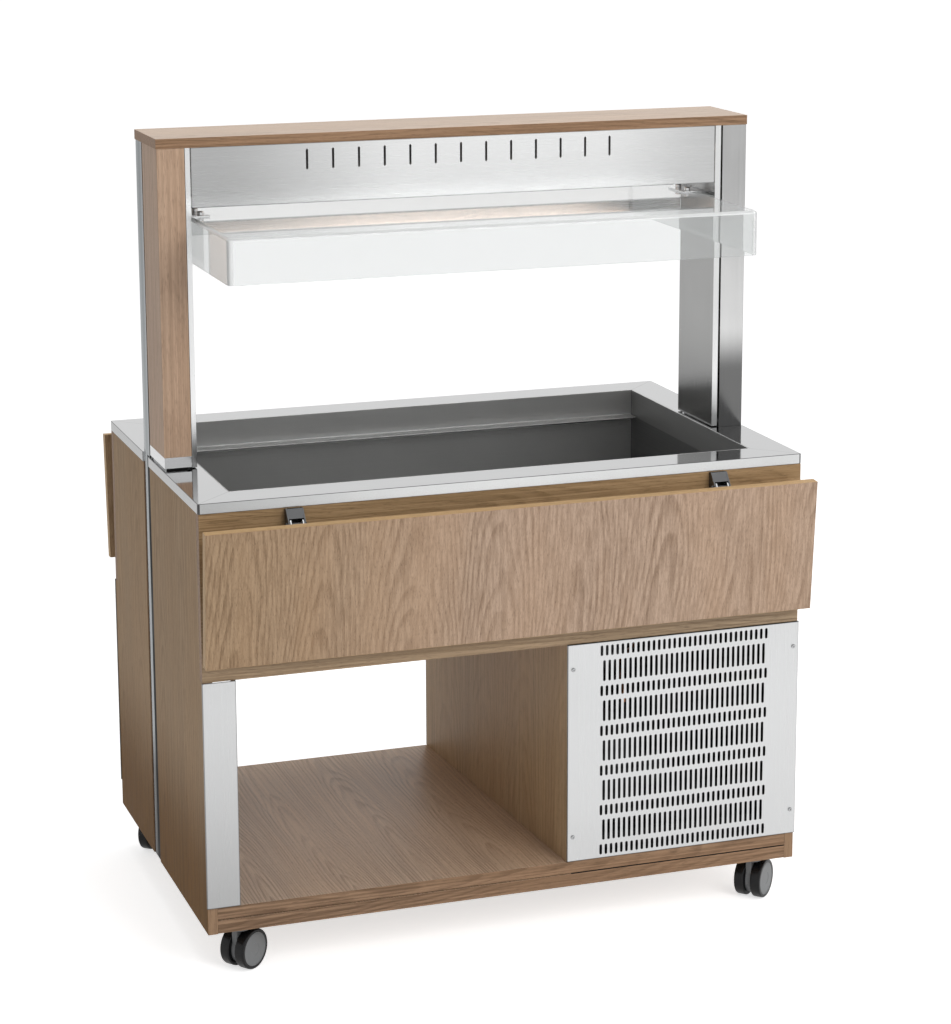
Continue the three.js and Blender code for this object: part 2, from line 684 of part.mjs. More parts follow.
function fasciaGeometry() {
  const front = POST_FRONT + COVER_REVEAL;
  const bottom = BRIDGE_UNDER - FASCIA_HEIGHT;
  const channel = outline([
    [front, bottom], [front + FASCIA_LIP, bottom], [front + FASCIA_LIP, bottom + SHEET],
    [front + SHEET, bottom + SHEET], [front + SHEET, BRIDGE_UNDER - SHEET],
    [front + FASCIA_LIP, BRIDGE_UNDER - SHEET], [front + FASCIA_LIP, BRIDGE_UNDER], [front, BRIDGE_UNDER],
  ]);
  const half = COVER_INNER - FASCIA_END_GAP;
  const middle = BRIDGE_UNDER - FASCIA_SLOT_DROP;
  const slots = [];
  for (let i = 0; i < FASCIA_SLOTS; i += 1) {
    const x = (i - (FASCIA_SLOTS - 1) / 2) * FASCIA_SLOT_PITCH;
    slots.push(alongY(slotOutline(x, middle, FASCIA_SLOT_WIDTH, FASCIA_SLOT_HEIGHT),
      front - SHEET, front + 2 * SHEET));
  }
  return cut(alongX(channel, -half, half), slots);
}

// A tall slot with pointed-round ends, centred on (x, z).
function slotOutline(x, z, width, height) {
  const shoulder = height / 2 - width / 2;
  return outline([
    [x - width / 2, z - shoulder], [x, z - height / 2], [x + width / 2, z - shoulder],
    [x + width / 2, z + shoulder], [x, z + height / 2], [x - width / 2, z + shoulder],
  ]);
}
add('fascia_front', fasciaGeometry(), STEEL);
add('fascia_rear', halfTurn(fasciaGeometry(), BRIDGE_Y), STEEL);

// -------- lamp

const lampMouth = BRIDGE_UNDER - LAMP_TRAY_DEEP;
const tubeCentreZ = BRIDGE_UNDER - TUBE_BELOW_BRIDGE;
const lampTrayHalf = TUBE_LENGTH / 2 + FIT + LAMPHOLDER_THICK + LAMP_TRAY_END;

// A lampholder is pressed into the roof of the tray and grips the end of the tube.
function lampholderGeometry(side) {
  const near = side * (TUBE_LENGTH / 2 + FIT);
  const far = near + side * LAMPHOLDER_THICK;
  const half = LAMPHOLDER_WIDTH / 2;
  const foot = LAMPHOLDER_FOOT / 2;
  const bottom = tubeCentreZ - TUBE_DIAMETER / 2 - LAMPHOLDER_CHIN;
  const top = BRIDGE_UNDER - SHEET / 2;
  const face = outline([
    [BRIDGE_Y - half, tubeCentreZ], [BRIDGE_Y - foot, bottom], [BRIDGE_Y + foot, bottom],
    [BRIDGE_Y + half, tubeCentreZ], [BRIDGE_Y + foot, top], [BRIDGE_Y - foot, top],
  ]);
  return alongX(face, Math.min(near, far), Math.max(near, far));
}

function lampTrayGeometry() {
  const roof = LAMP_TRAY_ROOF / 2;
  const mouth = LAMP_TRAY_MOUTH / 2;
  const sheet = alongX(outline([
    [BRIDGE_Y - mouth, lampMouth], [BRIDGE_Y - mouth + SHEET, lampMouth],
    [BRIDGE_Y - roof + SHEET, BRIDGE_UNDER - SHEET], [BRIDGE_Y + roof - SHEET, BRIDGE_UNDER - SHEET],
    [BRIDGE_Y + mouth - SHEET, lampMouth], [BRIDGE_Y + mouth, lampMouth],
    [BRIDGE_Y + roof, BRIDGE_UNDER], [BRIDGE_Y - roof, BRIDGE_UNDER],
  ]), -lampTrayHalf, lampTrayHalf);
  return join([sheet, lampholderGeometry(-1), lampholderGeometry(1)]);
}
add('lamp_tray', lampTrayGeometry(), WHITE_PAINT);

function lightTubeGeometry() {
  const half = TUBE_LENGTH / 2;
  const r = TUBE_DIAMETER / 2;
  const glass = r - TUBE_CAP_WALL;
  const cap = half - TUBE_CAP;
  return turned([
    [0, -half], [r, -half], [r, -cap], [glass, -cap], [glass, cap], [r, cap], [r, half], [0, half],
  ], 12).rotateY(Math.PI / 2).translate(0, BRIDGE_Y, tubeCentreZ);
}
add('light_tube', lightTubeGeometry(), LAMP_GLASS);

// -------- clear hood

function hoodRing(inset, z) {
  const radius = HOOD_CORNER - inset;
  return {
    points: roundedRectangle(HOOD_LENGTH - 2 * inset, HOOD_BREADTH - 2 * inset, BRIDGE_Y, radius,
      HOOD_CORNER_STEPS),
    z,
  };
}

// The hood swells from a square wall through a rounded edge to its flat top.
function hoodSkin(wall, bottom, top, edge) {
  const rings = [hoodRing(wall, bottom)];
  for (let i = 0; i <= HOOD_FILLET_STEPS; i += 1) {
    const angle = i / HOOD_FILLET_STEPS * Math.PI / 2;
    rings.push(hoodRing(wall + edge * (1 - Math.cos(angle)), top - edge * (1 - Math.sin(angle))));
  }
  return loft(rings);
}

const thumbX = COVER_INNER - BRACKET_REACH + THUMB_INSET;
const thumbPlaces = [];
[-1, 1].forEach((side) => [-1, 1].forEach((end) => {
  thumbPlaces.push([side * thumbX, BRIDGE_Y + end * THUMB_SPACING / 2]);
}));

function screwBore(x, y, z0, z1) {
  const r = THUMB_SHANK / 2 + SWIVEL_FIT;
  return turned([[0, z0], [r, z0], [r, z1], [0, z1]], 8).translate(x, y, 0);
}

function hoodGeometry() {
  const outer = hoodSkin(0, HOOD_TOP - HOOD_HEIGHT, HOOD_TOP, HOOD_EDGE);
  const inner = hoodSkin(HOOD_WALL, HOOD_TOP - HOOD_HEIGHT - PAST, HOOD_TOP - HOOD_WALL, HOOD_INNER_EDGE);
  const bores = thumbPlaces.map(([x, y]) => screwBore(x, y, HOOD_TOP - HOOD_WALL - PAST, HOOD_TOP + PAST));
  return cut(outer, [inner, ...bores]);
}
add('guard_hood', hoodGeometry(), CLEAR);

// The bracket's tab comes through the slot of the post cover; its leg is fixed behind the cover.
function bracketGeometry() {
  const half = BRACKET_LENGTH / 2;
  const legInner = COVER_INNER + SHEET;
  const tip = COVER_INNER - BRACKET_REACH;
  const profile = outline([
    [tip, tabBottom], [legInner + BRACKET_THICK, tabBottom],
    [legInner + BRACKET_THICK, tabTop + BRACKET_LEG], [legInner, tabTop + BRACKET_LEG],
    [legInner, tabTop], [tip, tabTop],
  ]);
  const bores = thumbPlaces.filter(([x]) => x > 0)
    .map(([x, y]) => screwBore(x, y, tabBottom - PAST, tabTop + PAST));
  return cut(alongY(profile, BRIDGE_Y - half, BRIDGE_Y + half), bores);
}
add('guard_bracket_right', bracketGeometry(), ZINC);
add('guard_bracket_left', halfTurn(bracketGeometry(), BRIDGE_Y), ZINC);

function thumbScrewGeometry(x, y) {
  const shank = THUMB_SHANK / 2;
  const head = THUMB_HEAD / 2;
  const nut = THUMB_NUT / 2;
  const headBottom = tabTop;
  const nutTop = HOOD_TOP - HOOD_WALL;
  return turned([
    [0, nutTop - THUMB_NUT_HEIGHT], [nut, nutTop - THUMB_NUT_HEIGHT], [nut, nutTop], [shank, nutTop],
    [shank, headBottom], [head, headBottom], [head, headBottom + THUMB_HEAD_HEIGHT / 2],
    [THUMB_CROWN / 2, headBottom + THUMB_HEAD_HEIGHT], [0, headBottom + THUMB_HEAD_HEIGHT],
  ], 8).translate(x, y, 0);
}
thumbPlaces.forEach(([x, y], i) => add(`thumb_screw_${i + 1}`, thumbScrewGeometry(x, y), ZINC));

// -------- leaf brackets: a housing on the apron, a pin, and an arm under the leaf

const leafInner = PIVOT_BELOW_TOP - BOARD;
const hingeMiddles = [-1, 1].map((end) => end * (LEAF_END - HINGE_INSET));
const housingHalf = HOUSING_WIDTH / 2;
const housingTop = WORKTOP_UNDER - HOUSING_TOP_GAP;

// Points of an arc about the pivot in (y, z), from one angle to another in degrees.
function pivotArc(cy, cz, radius, fromDeg, toDeg, steps) {
  const points = [];
  for (let i = 0; i <= steps; i += 1) {
    const angle = THREE.MathUtils.degToRad(fromDeg + (toDeg - fromDeg) * i / steps);
    points.push([cy + radius * Math.cos(angle), cz + radius * Math.sin(angle)]);
  }
  return points;
}

function housingGeometry(x) {
  const apronFace = -HALF_DEPTH;
  const topOut = apronFace - HOUSING_TOP_DEPTH;
  const cheekOutline = outline([
    [apronFace, housingTop], [topOut, housingTop],
    ...pivotArc(PIVOT_Y, PIVOT_Z, HOUSING_BOTTOM_RADIUS, 170, 270, 5),
    [apronFace, PIVOT_Z - HOUSING_BOTTOM_RADIUS],
  ]);
  const cheeks = [-1, 1].map((side) => {
    const outer = side * housingHalf;
    const inner = side * (housingHalf - HOUSING_PLATE);
    return alongX(cheekOutline, x + Math.min(outer, inner), x + Math.max(outer, inner));
  });
  const back = block(x - housingHalf, x + housingHalf, apronFace - HOUSING_PLATE, apronFace,
    PIVOT_Z - HOUSING_BOTTOM_RADIUS, housingTop);
  // the front web slopes out from the top and stops short of the arm's eye
  const slope = (PIVOT_Y - HOUSING_BOTTOM_RADIUS - topOut) / (housingTop - PIVOT_Z);
  const webBottom = housingTop - HOUSING_WEB_DROP;
  const webOut = topOut + slope * HOUSING_WEB_DROP;
  const web = alongX(outline([
    [topOut, housingTop], [webOut, webBottom], [webOut + HOUSING_PLATE, webBottom],
    [topOut + HOUSING_PLATE, housingTop],
  ]), x - housingHalf, x + housingHalf);
  const r = HINGE_PIN / 2;
  const head = HINGE_PIN_HEAD / 2;
  const pinHalf = housingHalf;
  const crown = HINGE_PIN_CROWN / 2;
  const domed = pinHalf + HINGE_PIN_DOME;
  const pin = turned([
    [0, -domed], [crown, HINGE_PIN_SHOULDER - domed], [head, -pinHalf],
    [r, HINGE_PIN_NECK - pinHalf], [r, pinHalf - HINGE_PIN_NECK],
    [head, pinHalf], [crown, domed - HINGE_PIN_SHOULDER], [0, domed],
  ], 8).rotateY(Math.PI / 2).translate(x, PIVOT_Y, PIVOT_Z);
  return join([back, ...cheeks, web, pin]);
}

const [leftHousing, rightHousing] = hingeMiddles.map(housingGeometry);
add('hinge_housing_front_left', leftHousing, BLACK_STEEL);
add('hinge_housing_front_right', rightHousing, BLACK_STEEL);
add('hinge_housing_rear_right', halfTurn(leftHousing), BLACK_STEEL);
add('hinge_housing_rear_left', halfTurn(rightHousing), BLACK_STEEL);

// The arm, in a frame at the pivot with -Y towards the leaf: an eye on each cheek, a neck that drops
// below the housing's web, and a tapering channel screwed along the inner face of the leaf.
function armGeometry(x) {
  const outer = housingHalf - HOUSING_PLATE - ARM_SIDE_GAP;
  const face = -leafInner + FIT;
  const profile = outline([
    ...pivotArc(0, 0, ARM_EYE, 40, 200, 6),
    [face + ARM_PLATE, -ARM_START], [face, -ARM_START],
    [face, -ARM_START - ARM_LENGTH], [face + ARM_END_DEPTH, -ARM_START - ARM_LENGTH],
    [face + ARM_DEPTH, -ARM_START - ARM_NECK], [ARM_CROTCH_OUT, -ARM_CROTCH_BELOW],
  ]);
  const cheeks = [-1, 1].map((side) => {
    const a = x + side * outer;
    const b = x + side * (outer - ARM_PLATE);
    return alongX(profile, Math.min(a, b), Math.max(a, b));
  });
  const foot = block(x - outer, x + outer, face, face + ARM_PLATE, -ARM_START - ARM_LENGTH, -ARM_START);
  const bore = peg(HINGE_PIN + 2 * SWIVEL_FIT, -outer - PAST, outer + PAST, 12)
    .rotateY(Math.PI / 2).translate(x, 0, 0);
  return cut(join([...cheeks, foot]), [bore]);
}

function leafBoardGeometry() {
  const outer = -PIVOT_BELOW_TOP;
  const top = LEAF_NEAR_EDGE;
  const bottom = top - LEAF_BREADTH;
  return block(-LEAF_END, LEAF_END, outer, outer + BOARD, bottom, top);
}

function addLeaf(place, turn, armNames) {
  const side = new THREE.Group();
  side.rotation.z = turn;
  const pivot = new THREE.Group();
  pivot.position.set(0, PIVOT_Y, PIVOT_Z);
  pivot.rotation.x = LEAF_LEAN;
  side.add(pivot);
  bar.add(side);
  add(`leaf_${place}`, leafBoardGeometry(), OAK, pivot);
  hingeMiddles.forEach((x, i) => add(`leaf_arm_${place}_${armNames[i]}`, armGeometry(x), ZINC, pivot));
}
addLeaf('front', 0, ['left', 'right']);
addLeaf('rear', Math.PI, ['right', 'left']);

// -------- lower plates and grilles

const plateFront = -(HALF_DEPTH + PLATE_STAND);
const plateBottom = BASE_TOP + PLATE_GAP;
const plateTop = APRON_BOTTOM;

// A shallow folded tray that stands off the boards behind it, pierced by slots.
function trayPlate(x0, x1, slots) {
  const solid = block(x0, x1, plateFront, -HALF_DEPTH, plateBottom, plateTop);
  const inside = block(x0 + SHEET, x1 - SHEET, plateFront + SHEET, PAST - HALF_DEPTH,
    plateBottom + SHEET, plateTop - SHEET);
  return cut(solid, [inside, together(slots)]);
}

function plateSlot(x, z, width, height) {
  return block(x - width / 2, x + width / 2, plateFront - SHEET, plateFront + 2 * SHEET,
    z - height / 2, z + height / 2);
}

const plateMiddleZ = (plateBottom + plateTop) / 2;

// How many slots of a pitch stand in a length between two margins.
function slotCount(length, margin, slot, pitch) {
  return Math.floor((length - 2 * margin - slot) / pitch) + 1;
}

// Rows of short slots alternate with rows of tall ones, set half a pitch aside.
function frontGrilleGeometry() {
  const slots = [];
  const middle = (PARTITION_FRONT_X + PLATE_END) / 2;
  const shortColumns = slotCount(GRILLE_WIDTH, GRILLE_SIDE_MARGIN, GRILLE_SLOT_WIDTH, GRILLE_PITCH);
  const shortRows = slotCount(plateTop - plateBottom, GRILLE_ROW_MARGIN, GRILLE_SHORT_SLOT, GRILLE_ROW_PITCH);
  const rows = 2 * shortRows - 1;
  for (let row = 0; row < rows; row += 1) {
    const tall = row % 2 === 1;
    const columns = tall ? shortColumns - 1 : shortColumns;
    const z = plateMiddleZ + ((rows - 1) / 2 - row) * GRILLE_ROW_PITCH / 2;
    for (let column = 0; column < columns; column += 1) {
      const x = middle + (column - (columns - 1) / 2) * GRILLE_PITCH;
      slots.push(plateSlot(x, z, GRILLE_SLOT_WIDTH, tall ? GRILLE_TALL_SLOT : GRILLE_SHORT_SLOT));
    }
  }
  return trayPlate(PARTITION_FRONT_X, PLATE_END, slots);
}
add('grille_front', frontGrilleGeometry(), STEEL);

// The rear grille closes the same space, turned half round: its ends are mirrored in x.
function rearGrilleGeometry() {
  const x0 = -PLATE_END;
  const x1 = -PARTITION_REAR_X;
  const slots = [];
  const middle = (x0 + x1) / 2;
  const columns = slotCount(REAR_GRILLE_WIDTH, REAR_GRILLE_SIDE_MARGIN, REAR_GRILLE_SLOT_WIDTH,
    REAR_GRILLE_PITCH);
  const rows = slotCount(plateTop - plateBottom, REAR_GRILLE_ROW_MARGIN, REAR_GRILLE_SLOT,
    REAR_GRILLE_ROW_PITCH);
  for (let row = 0; row < rows; row += 1) {
    const z = plateMiddleZ + (row - (rows - 1) / 2) * REAR_GRILLE_ROW_PITCH;
    for (let column = 0; column < columns; column += 1) {
      const x = middle + (column - (columns - 1) / 2) * REAR_GRILLE_PITCH;
      slots.push(plateSlot(x, z, REAR_GRILLE_SLOT_WIDTH, REAR_GRILLE_SLOT));
    }
  }
  return halfTurn(trayPlate(x0, x1, slots));
}
add('grille_rear', rearGrilleGeometry(), STEEL);

// The corner plate wraps the front edge of the side board and turns back into the bay.
function cornerPlateGeometry(mirror) {
  const x0 = -PLATE_END;
  const x1 = x0 + CORNER_PLATE_WIDTH;
  const wrap = outline([
    [x0, plateFront], [x1, plateFront], [x1, plateFront + CORNER_PLATE_RETURN],
    [x1 - SHEET, plateFront + CORNER_PLATE_RETURN], [x1 - SHEET, plateFront + SHEET],
    [x0 + SHEET, plateFront + SHEET], [x0 + SHEET, -HALF_DEPTH], [x0, -HALF_DEPTH],
  ]);
  const plate = toSolid(upright(wrap, plateBottom, plateTop));
  return toGeometry(mirror ? plate.mirror([0, 1, 0]) : plate);
}
add('corner_plate_front', cornerPlateGeometry(false), STEEL);
add('corner_plate_rear', cornerPlateGeometry(true), STEEL);

// -------- refrigeration unit

const unitX = (PARTITION_FRONT_X + BOARD + SIDE_INNER) / 2;
const trayTop = BASE_TOP + SHEET;
const unitHalf = HALF_DEPTH - UNIT_TRAY_INSET;
const condenserBack = unitHalf - CONDENSER_SETBACK + CONDENSER_THICK / 2;
const condenserFront = condenserBack - CONDENSER_THICK;
const condenserTop = APRON_BOTTOM - CONDENSER_HEADROOM;
const condenserLeft = unitX - CONDENSER_WIDTH / 2;
const shroudFront = condenserFront - SHROUD_DEPTH;
const shroudRing = Math.min(CONDENSER_WIDTH, condenserTop - trayTop) - 2 * SHROUD_MARGIN;
const fanZ = (trayTop + condenserTop) / 2;
const motorBack = shroudFront - MOTOR_CLEARANCE;
const motorFront = motorBack - MOTOR_LENGTH;

// A sheet pan with turned-up ends carries the unit; the fan shroud is folded up from it, and the fan
// motor hangs in front of the shroud on a bent strap.
function unitFrameGeometry() {
  const half = unitHalf;
  const right = condenserLeft + CONDENSER_WIDTH;
  const pan = alongX(outline([
    [-half, BASE_TOP], [half, BASE_TOP], [half, BASE_TOP + UNIT_TRAY_EDGE],
    [half - SHEET, BASE_TOP + UNIT_TRAY_EDGE], [half - SHEET, trayTop], [-half + SHEET, trayTop],
    [-half + SHEET, BASE_TOP + UNIT_TRAY_EDGE], [-half, BASE_TOP + UNIT_TRAY_EDGE],
  ]), condenserLeft - UNIT_TRAY_END, right + UNIT_TRAY_END);
  const box = block(condenserLeft, right, shroudFront, condenserFront, trayTop - SHEET / 2, condenserTop);
  const hollow = block(condenserLeft + SHEET, right - SHEET, shroudFront + SHEET, condenserFront + PAST,
    trayTop, condenserTop - SHEET);
  const throat = peg(shroudRing, -PAST, SHROUD_DEPTH / 2, 28)
    .rotateX(-Math.PI / 2).translate(unitX, shroudFront, fanZ);
  const r = MOTOR_DIAMETER / 2;
  const nose = r - MOTOR_ROUND;
  const can = turned([
    [0, 0], [nose, 0], [r, MOTOR_ROUND], [r, MOTOR_LENGTH - MOTOR_ROUND], [nose, MOTOR_LENGTH],
    [0, MOTOR_LENGTH],
  ], 18).rotateX(-Math.PI / 2).translate(unitX, motorFront, fanZ);
  const shaft = peg(MOTOR_SHAFT, 0, MOTOR_CLEARANCE + FAN_SETBACK + FAN_BORE_DEPTH, 10)
    .rotateX(-Math.PI / 2).translate(unitX, motorBack - WELD, fanZ);
  const reach = shroudRing / 2 + STRAP_FOOT;
  const strap = upright(outline([
    [-reach, shroudFront + SHEET / 2], [-reach, shroudFront - STRAP_THICK],
    [-reach + STRAP_FOOT, shroudFront - STRAP_THICK], [-nose, motorFront - STRAP_THICK],
    [nose, motorFront - STRAP_THICK], [reach - STRAP_FOOT, shroudFront - STRAP_THICK],
    [reach, shroudFront - STRAP_THICK], [reach, shroudFront + SHEET / 2],
    [reach - STRAP_FOOT, shroudFront + SHEET / 2], [nose, motorFront + WELD], [-nose, motorFront + WELD],
    [-reach + STRAP_FOOT, shroudFront + SHEET / 2],
  ].map(([x, y]) => [x + unitX, y])), fanZ - STRAP_WIDTH / 2, fanZ + STRAP_WIDTH / 2);
  return join([pan, cut(box, [hollow, throat]), can, shaft, strap]);
}
add('unit_frame', unitFrameGeometry(), BLACK_PAINT);

// A hermetic pot with a welded belt, on a foot plate with four grommets, with a terminal box and two
// pipe stubs.
const compressorBottom = trayTop + COMPRESSOR_LIFT;
const compressorTop = compressorBottom + COMPRESSOR_HEIGHT;
const stubTop = compressorTop + STUB_HEIGHT;
const compressorX = unitX - COMPRESSOR_OFFSET;
const compressorY = COMPRESSOR_SETBACK - unitHalf;

function compressorGeometry() {
  const r = COMPRESSOR_DIAMETER / 2;
  const belt = compressorBottom + COMPRESSOR_BELT;
  const pot = turned([
    [0, compressorBottom], [r - COMPRESSOR_DISH, compressorBottom + POT_FLOOR_RISE],
    [r - POT_TAPER, compressorBottom + COMPRESSOR_DISH], [r, belt - BELT_HALF - BELT_SLOPE],
    [r + BELT_REACH, belt - BELT_HALF], [r + BELT_REACH, belt + BELT_HALF],
    [r, belt + BELT_HALF + BELT_SLOPE], [r - POT_SHOULDER, compressorTop - COMPRESSOR_DOME],
    [r - COMPRESSOR_DOME, compressorTop - POT_CROWN], [0, compressorTop],
  ], 16);
  const footX = COMPRESSOR_FOOT / 2;
  const footY = COMPRESSOR_FOOT_BREADTH / 2;
  const plate = block(-footX, footX, -footY, footY, compressorBottom, compressorBottom + COMPRESSOR_PLATE);
  const grommets = [];
  [-1, 1].forEach((sx) => [-1, 1].forEach((sy) => {
    grommets.push(peg(GROMMET, trayTop, compressorBottom + WELD, 8)
      .translate(sx * (footX - GROMMET), sy * (footY - GROMMET), 0));
  }));
  const box = block(r - TERMINAL_BOX_SINK, r + TERMINAL_BOX_REACH, -TERMINAL_BOX / 2, TERMINAL_BOX / 2,
    belt - TERMINAL_BOX, belt - TERMINAL_BOX_DROP);
  const stubs = [-1, 1].map((side) => peg(LINE_DIAMETER, compressorTop - COMPRESSOR_DOME, stubTop, 10)
    .translate(side * STUB_SPACING / 2, 0, 0));
  return join([pot, plate, ...grommets, box, ...stubs]).translate(compressorX, compressorY, 0);
}
add('compressor', compressorGeometry(), BLACK_PAINT);

// The condenser block, grooved between its fins.
function condenserGeometry() {
  const pitch = CONDENSER_WIDTH / (CONDENSER_FINS + 0.5);
  const comb = [];
  for (let fin = 0; fin <= CONDENSER_FINS; fin += 1) {
    const x = condenserLeft + fin * pitch;
    comb.push([x, condenserFront], [x + pitch / 2, condenserFront]);
    if (fin < CONDENSER_FINS) {
      comb.push([x + pitch / 2, condenserFront + CONDENSER_FIN_DEPTH],
        [x + pitch, condenserFront + CONDENSER_FIN_DEPTH]);
    }
  }
  comb.push([condenserLeft + CONDENSER_WIDTH, condenserBack], [condenserLeft, condenserBack]);
  return upright(outline(comb), trayTop, condenserTop);
}
add('condenser', condenserGeometry(), FIN_ALUMINIUM);

// Pitched blades on a round hub, turning on the motor shaft in the throat of the shroud.
// In its own frame the shaft runs along Z.
function fanGeometry() {
  const hubR = FAN_HUB / 2;
  const tip = shroudRing / 2 - FAN_TIP_GAP;
  const root = hubR - BLADE_ROOT;
  const hub = turned([
    [0, 0], [hubR - FAN_HUB_ROUND, 0], [hubR, FAN_HUB_ROUND], [hubR, FAN_HUB_DEPTH], [0, FAN_HUB_DEPTH],
  ], 15);
  const pitch = THREE.MathUtils.degToRad(FAN_PITCH_DEG);
  const blades = [];
  for (let i = 0; i < FAN_BLADES; i += 1) {
    const blade = new THREE.ExtrudeGeometry(outline([
      [root, -BLADE_ROOT_HALF], [tip - BLADE_SHOULDER, -BLADE_TIP_HALF],
      [tip - BLADE_TIP_ROUND, -BLADE_TIP_HALF], [tip - BLADE_TIP_SETBACK, -BLADE_ROOT_HALF],
      [tip - BLADE_TIP_SETBACK, BLADE_ROOT_HALF], [tip - BLADE_TIP_ROUND, BLADE_TIP_HALF - BLADE_SWEEP],
      [tip - BLADE_SHOULDER, BLADE_TIP_HALF - 2 * BLADE_SWEEP], [root, BLADE_ROOT_HALF],
    ]), { depth: FAN_BLADE_THICK, bevelEnabled: false });
    blade.translate(0, 0, -FAN_BLADE_THICK / 2).rotateX(pitch).translate(0, 0, FAN_HUB_DEPTH / 2);
    blades.push(blade.rotateZ(i * 2 * Math.PI / FAN_BLADES));
  }
  return cut(join([hub, ...blades]), [peg(MOTOR_SHAFT + 2 * SWIVEL_FIT, -PAST, FAN_BORE_DEPTH + FIT, 12)]);
}
const fan = add('fan_blades', fanGeometry(), FIN_ALUMINIUM);
fan.rotation.x = -Math.PI / 2;
fan.position.set(unitX, motorBack + MOTOR_CLEARANCE + FAN_SETBACK - WELD, fanZ);

// Copper lines, brazed into one run: from the compressor to the head of the condenser, from there up
// to the well, and back beside it from the well to the compressor.
function linesGeometry() {
  const riserX = unitX + LINE_RISER_OFFSET;
  const stubLeft = compressorX - STUB_SPACING / 2;
  const stubRight = compressorX + STUB_SPACING / 2;
  const start = stubTop + FIT;
  const bend = start + LINE_BEND;
  const headY = condenserFront + LINE_INSET;
  const head = condenserTop + FIT;
  const riseTop = APRON_BOTTOM - FIT;
  const discharge = pipe([
    [stubLeft, compressorY, start], [stubLeft, compressorY, bend],
    [stubLeft, compressorY + LINE_BEND, bend + LINE_BEND],
    [stubLeft, headY - LINE_BEND, condenserTop + 2 * LINE_BEND],
    [stubLeft, headY, condenserTop + LINE_BEND], [stubLeft, headY, head],
  ], LINE_DIAMETER, LINE_SIDES, LINE_STEPS);
  const header = peg(LINE_DIAMETER, 0, riserX - stubLeft, LINE_SIDES)
    .rotateY(Math.PI / 2).translate(stubLeft, headY, head + LINE_DIAMETER / 2);
  const liquid = pipe([
    [riserX, headY, head + LINE_DIAMETER / 2], [riserX, headY, condenserTop + LINE_BEND],
    [riserX, headY - LINE_BEND, condenserTop + 2 * LINE_BEND],
    [riserX, LINE_RISER_Y + LINE_BEND, riseTop - 2 * LINE_BEND],
    [riserX, LINE_RISER_Y, riseTop - LINE_BEND], [riserX, LINE_RISER_Y, riseTop],
  ], LINE_DIAMETER, LINE_SIDES, LINE_STEPS);
  const beside = riserX - LINE_DIAMETER + WELD;
  const suction = pipe([
    [stubRight, compressorY, start], [stubRight, compressorY, bend],
    [stubRight, compressorY + LINE_BEND, bend + LINE_BEND],
    [beside, LINE_RISER_Y - LINE_BEND, riseTop - 2 * LINE_BEND],
    [beside, LINE_RISER_Y, riseTop - LINE_BEND], [beside, LINE_RISER_Y, riseTop],
  ], LINE_DIAMETER, LINE_SIDES, LINE_STEPS);
  return join([discharge, header, liquid, suction]);
}
add('refrigerant_lines', linesGeometry(), COPPER);

// -------- casters

const headTop = LOWER_BOARD_BOTTOM - CASTER_HEAD_GAP;
const headBottom = WHEEL_DIAMETER + CASTER_HEAD_LIFT;

// The swivelling body: a stem that turns in its socket, a round head, and a fin between the wheels
// that holds the axle.  In its own frame the stem's foot is the origin, the axle runs along X and the
// wheels trail to +Y.
function casterBodyGeometry() {
  const finHalf = WHEEL_GAP / 2 - WHEEL_FIT;
  const headR = CASTER_HEAD_DIAMETER / 2;
  const round = CASTER_HEAD_ROUND;
  const head = turned([
    [0, headBottom], [headR - round, headBottom], [headR, headBottom + round],
    [headR, headTop - CASTER_HEAD_CHAMFER], [headR - CASTER_HEAD_CHAMFER, headTop], [0, headTop],
  ], 14);
  const stemR = STEM_DIAMETER / 2;
  const stemTop = LOWER_BOARD_BOTTOM + STEM_LENGTH;
  const stem = turned([
    [0, headTop - WELD], [stemR, headTop - WELD], [stemR, stemTop - STEM_TIP], [stemR - STEM_TIP, stemTop],
    [0, stemTop],
  ], 10);
  const fin = peg(2 * CASTER_BODY_RADIUS, -finHalf, finHalf, 16)
    .rotateY(Math.PI / 2).translate(0, CASTER_TRAIL, WHEEL_RADIUS);
  const neck = block(-finHalf, finHalf, -CASTER_NECK / 2, CASTER_NECK / 2, WHEEL_RADIUS, headBottom + WELD);
  const axleHalf = WHEEL_GAP / 2 + WHEEL_WIDTH - AXLE_SHORT;
  const axle = peg(AXLE_DIAMETER, -axleHalf, axleHalf, 8)
    .rotateY(Math.PI / 2).translate(0, CASTER_TRAIL, WHEEL_RADIUS);
  return join([head, stem, neck, fin, axle]);
}

// One wheel: a tyre with rounded shoulders over a hub whose outer face is a plain recessed disc.
// In its own frame the axle runs along X, with the outer face towards +X.
function wheelGeometry() {
  const half = WHEEL_WIDTH / 2;
  const hubR = HUB_DIAMETER / 2;
  const face = half - HUB_RECESS;
  const shoulder = WHEEL_RADIUS - TYRE_SHOULDER;
  const boreR = AXLE_DIAMETER / 2 + WHEEL_FIT / 2;
  return turned([
    [0, face - HUB_SHELL], [boreR, face - HUB_SHELL], [boreR, -half + HUB_RECESS],
    [hubR, -half + HUB_RECESS], [hubR, -half], [shoulder, -half], [WHEEL_RADIUS, -half + TYRE_SHOULDER],
    [WHEEL_RADIUS, half - TYRE_SHOULDER], [shoulder, half], [hubR, half], [hubR, face], [0, face],
  ], WHEEL_SEGMENTS).rotateY(Math.PI / 2);
}

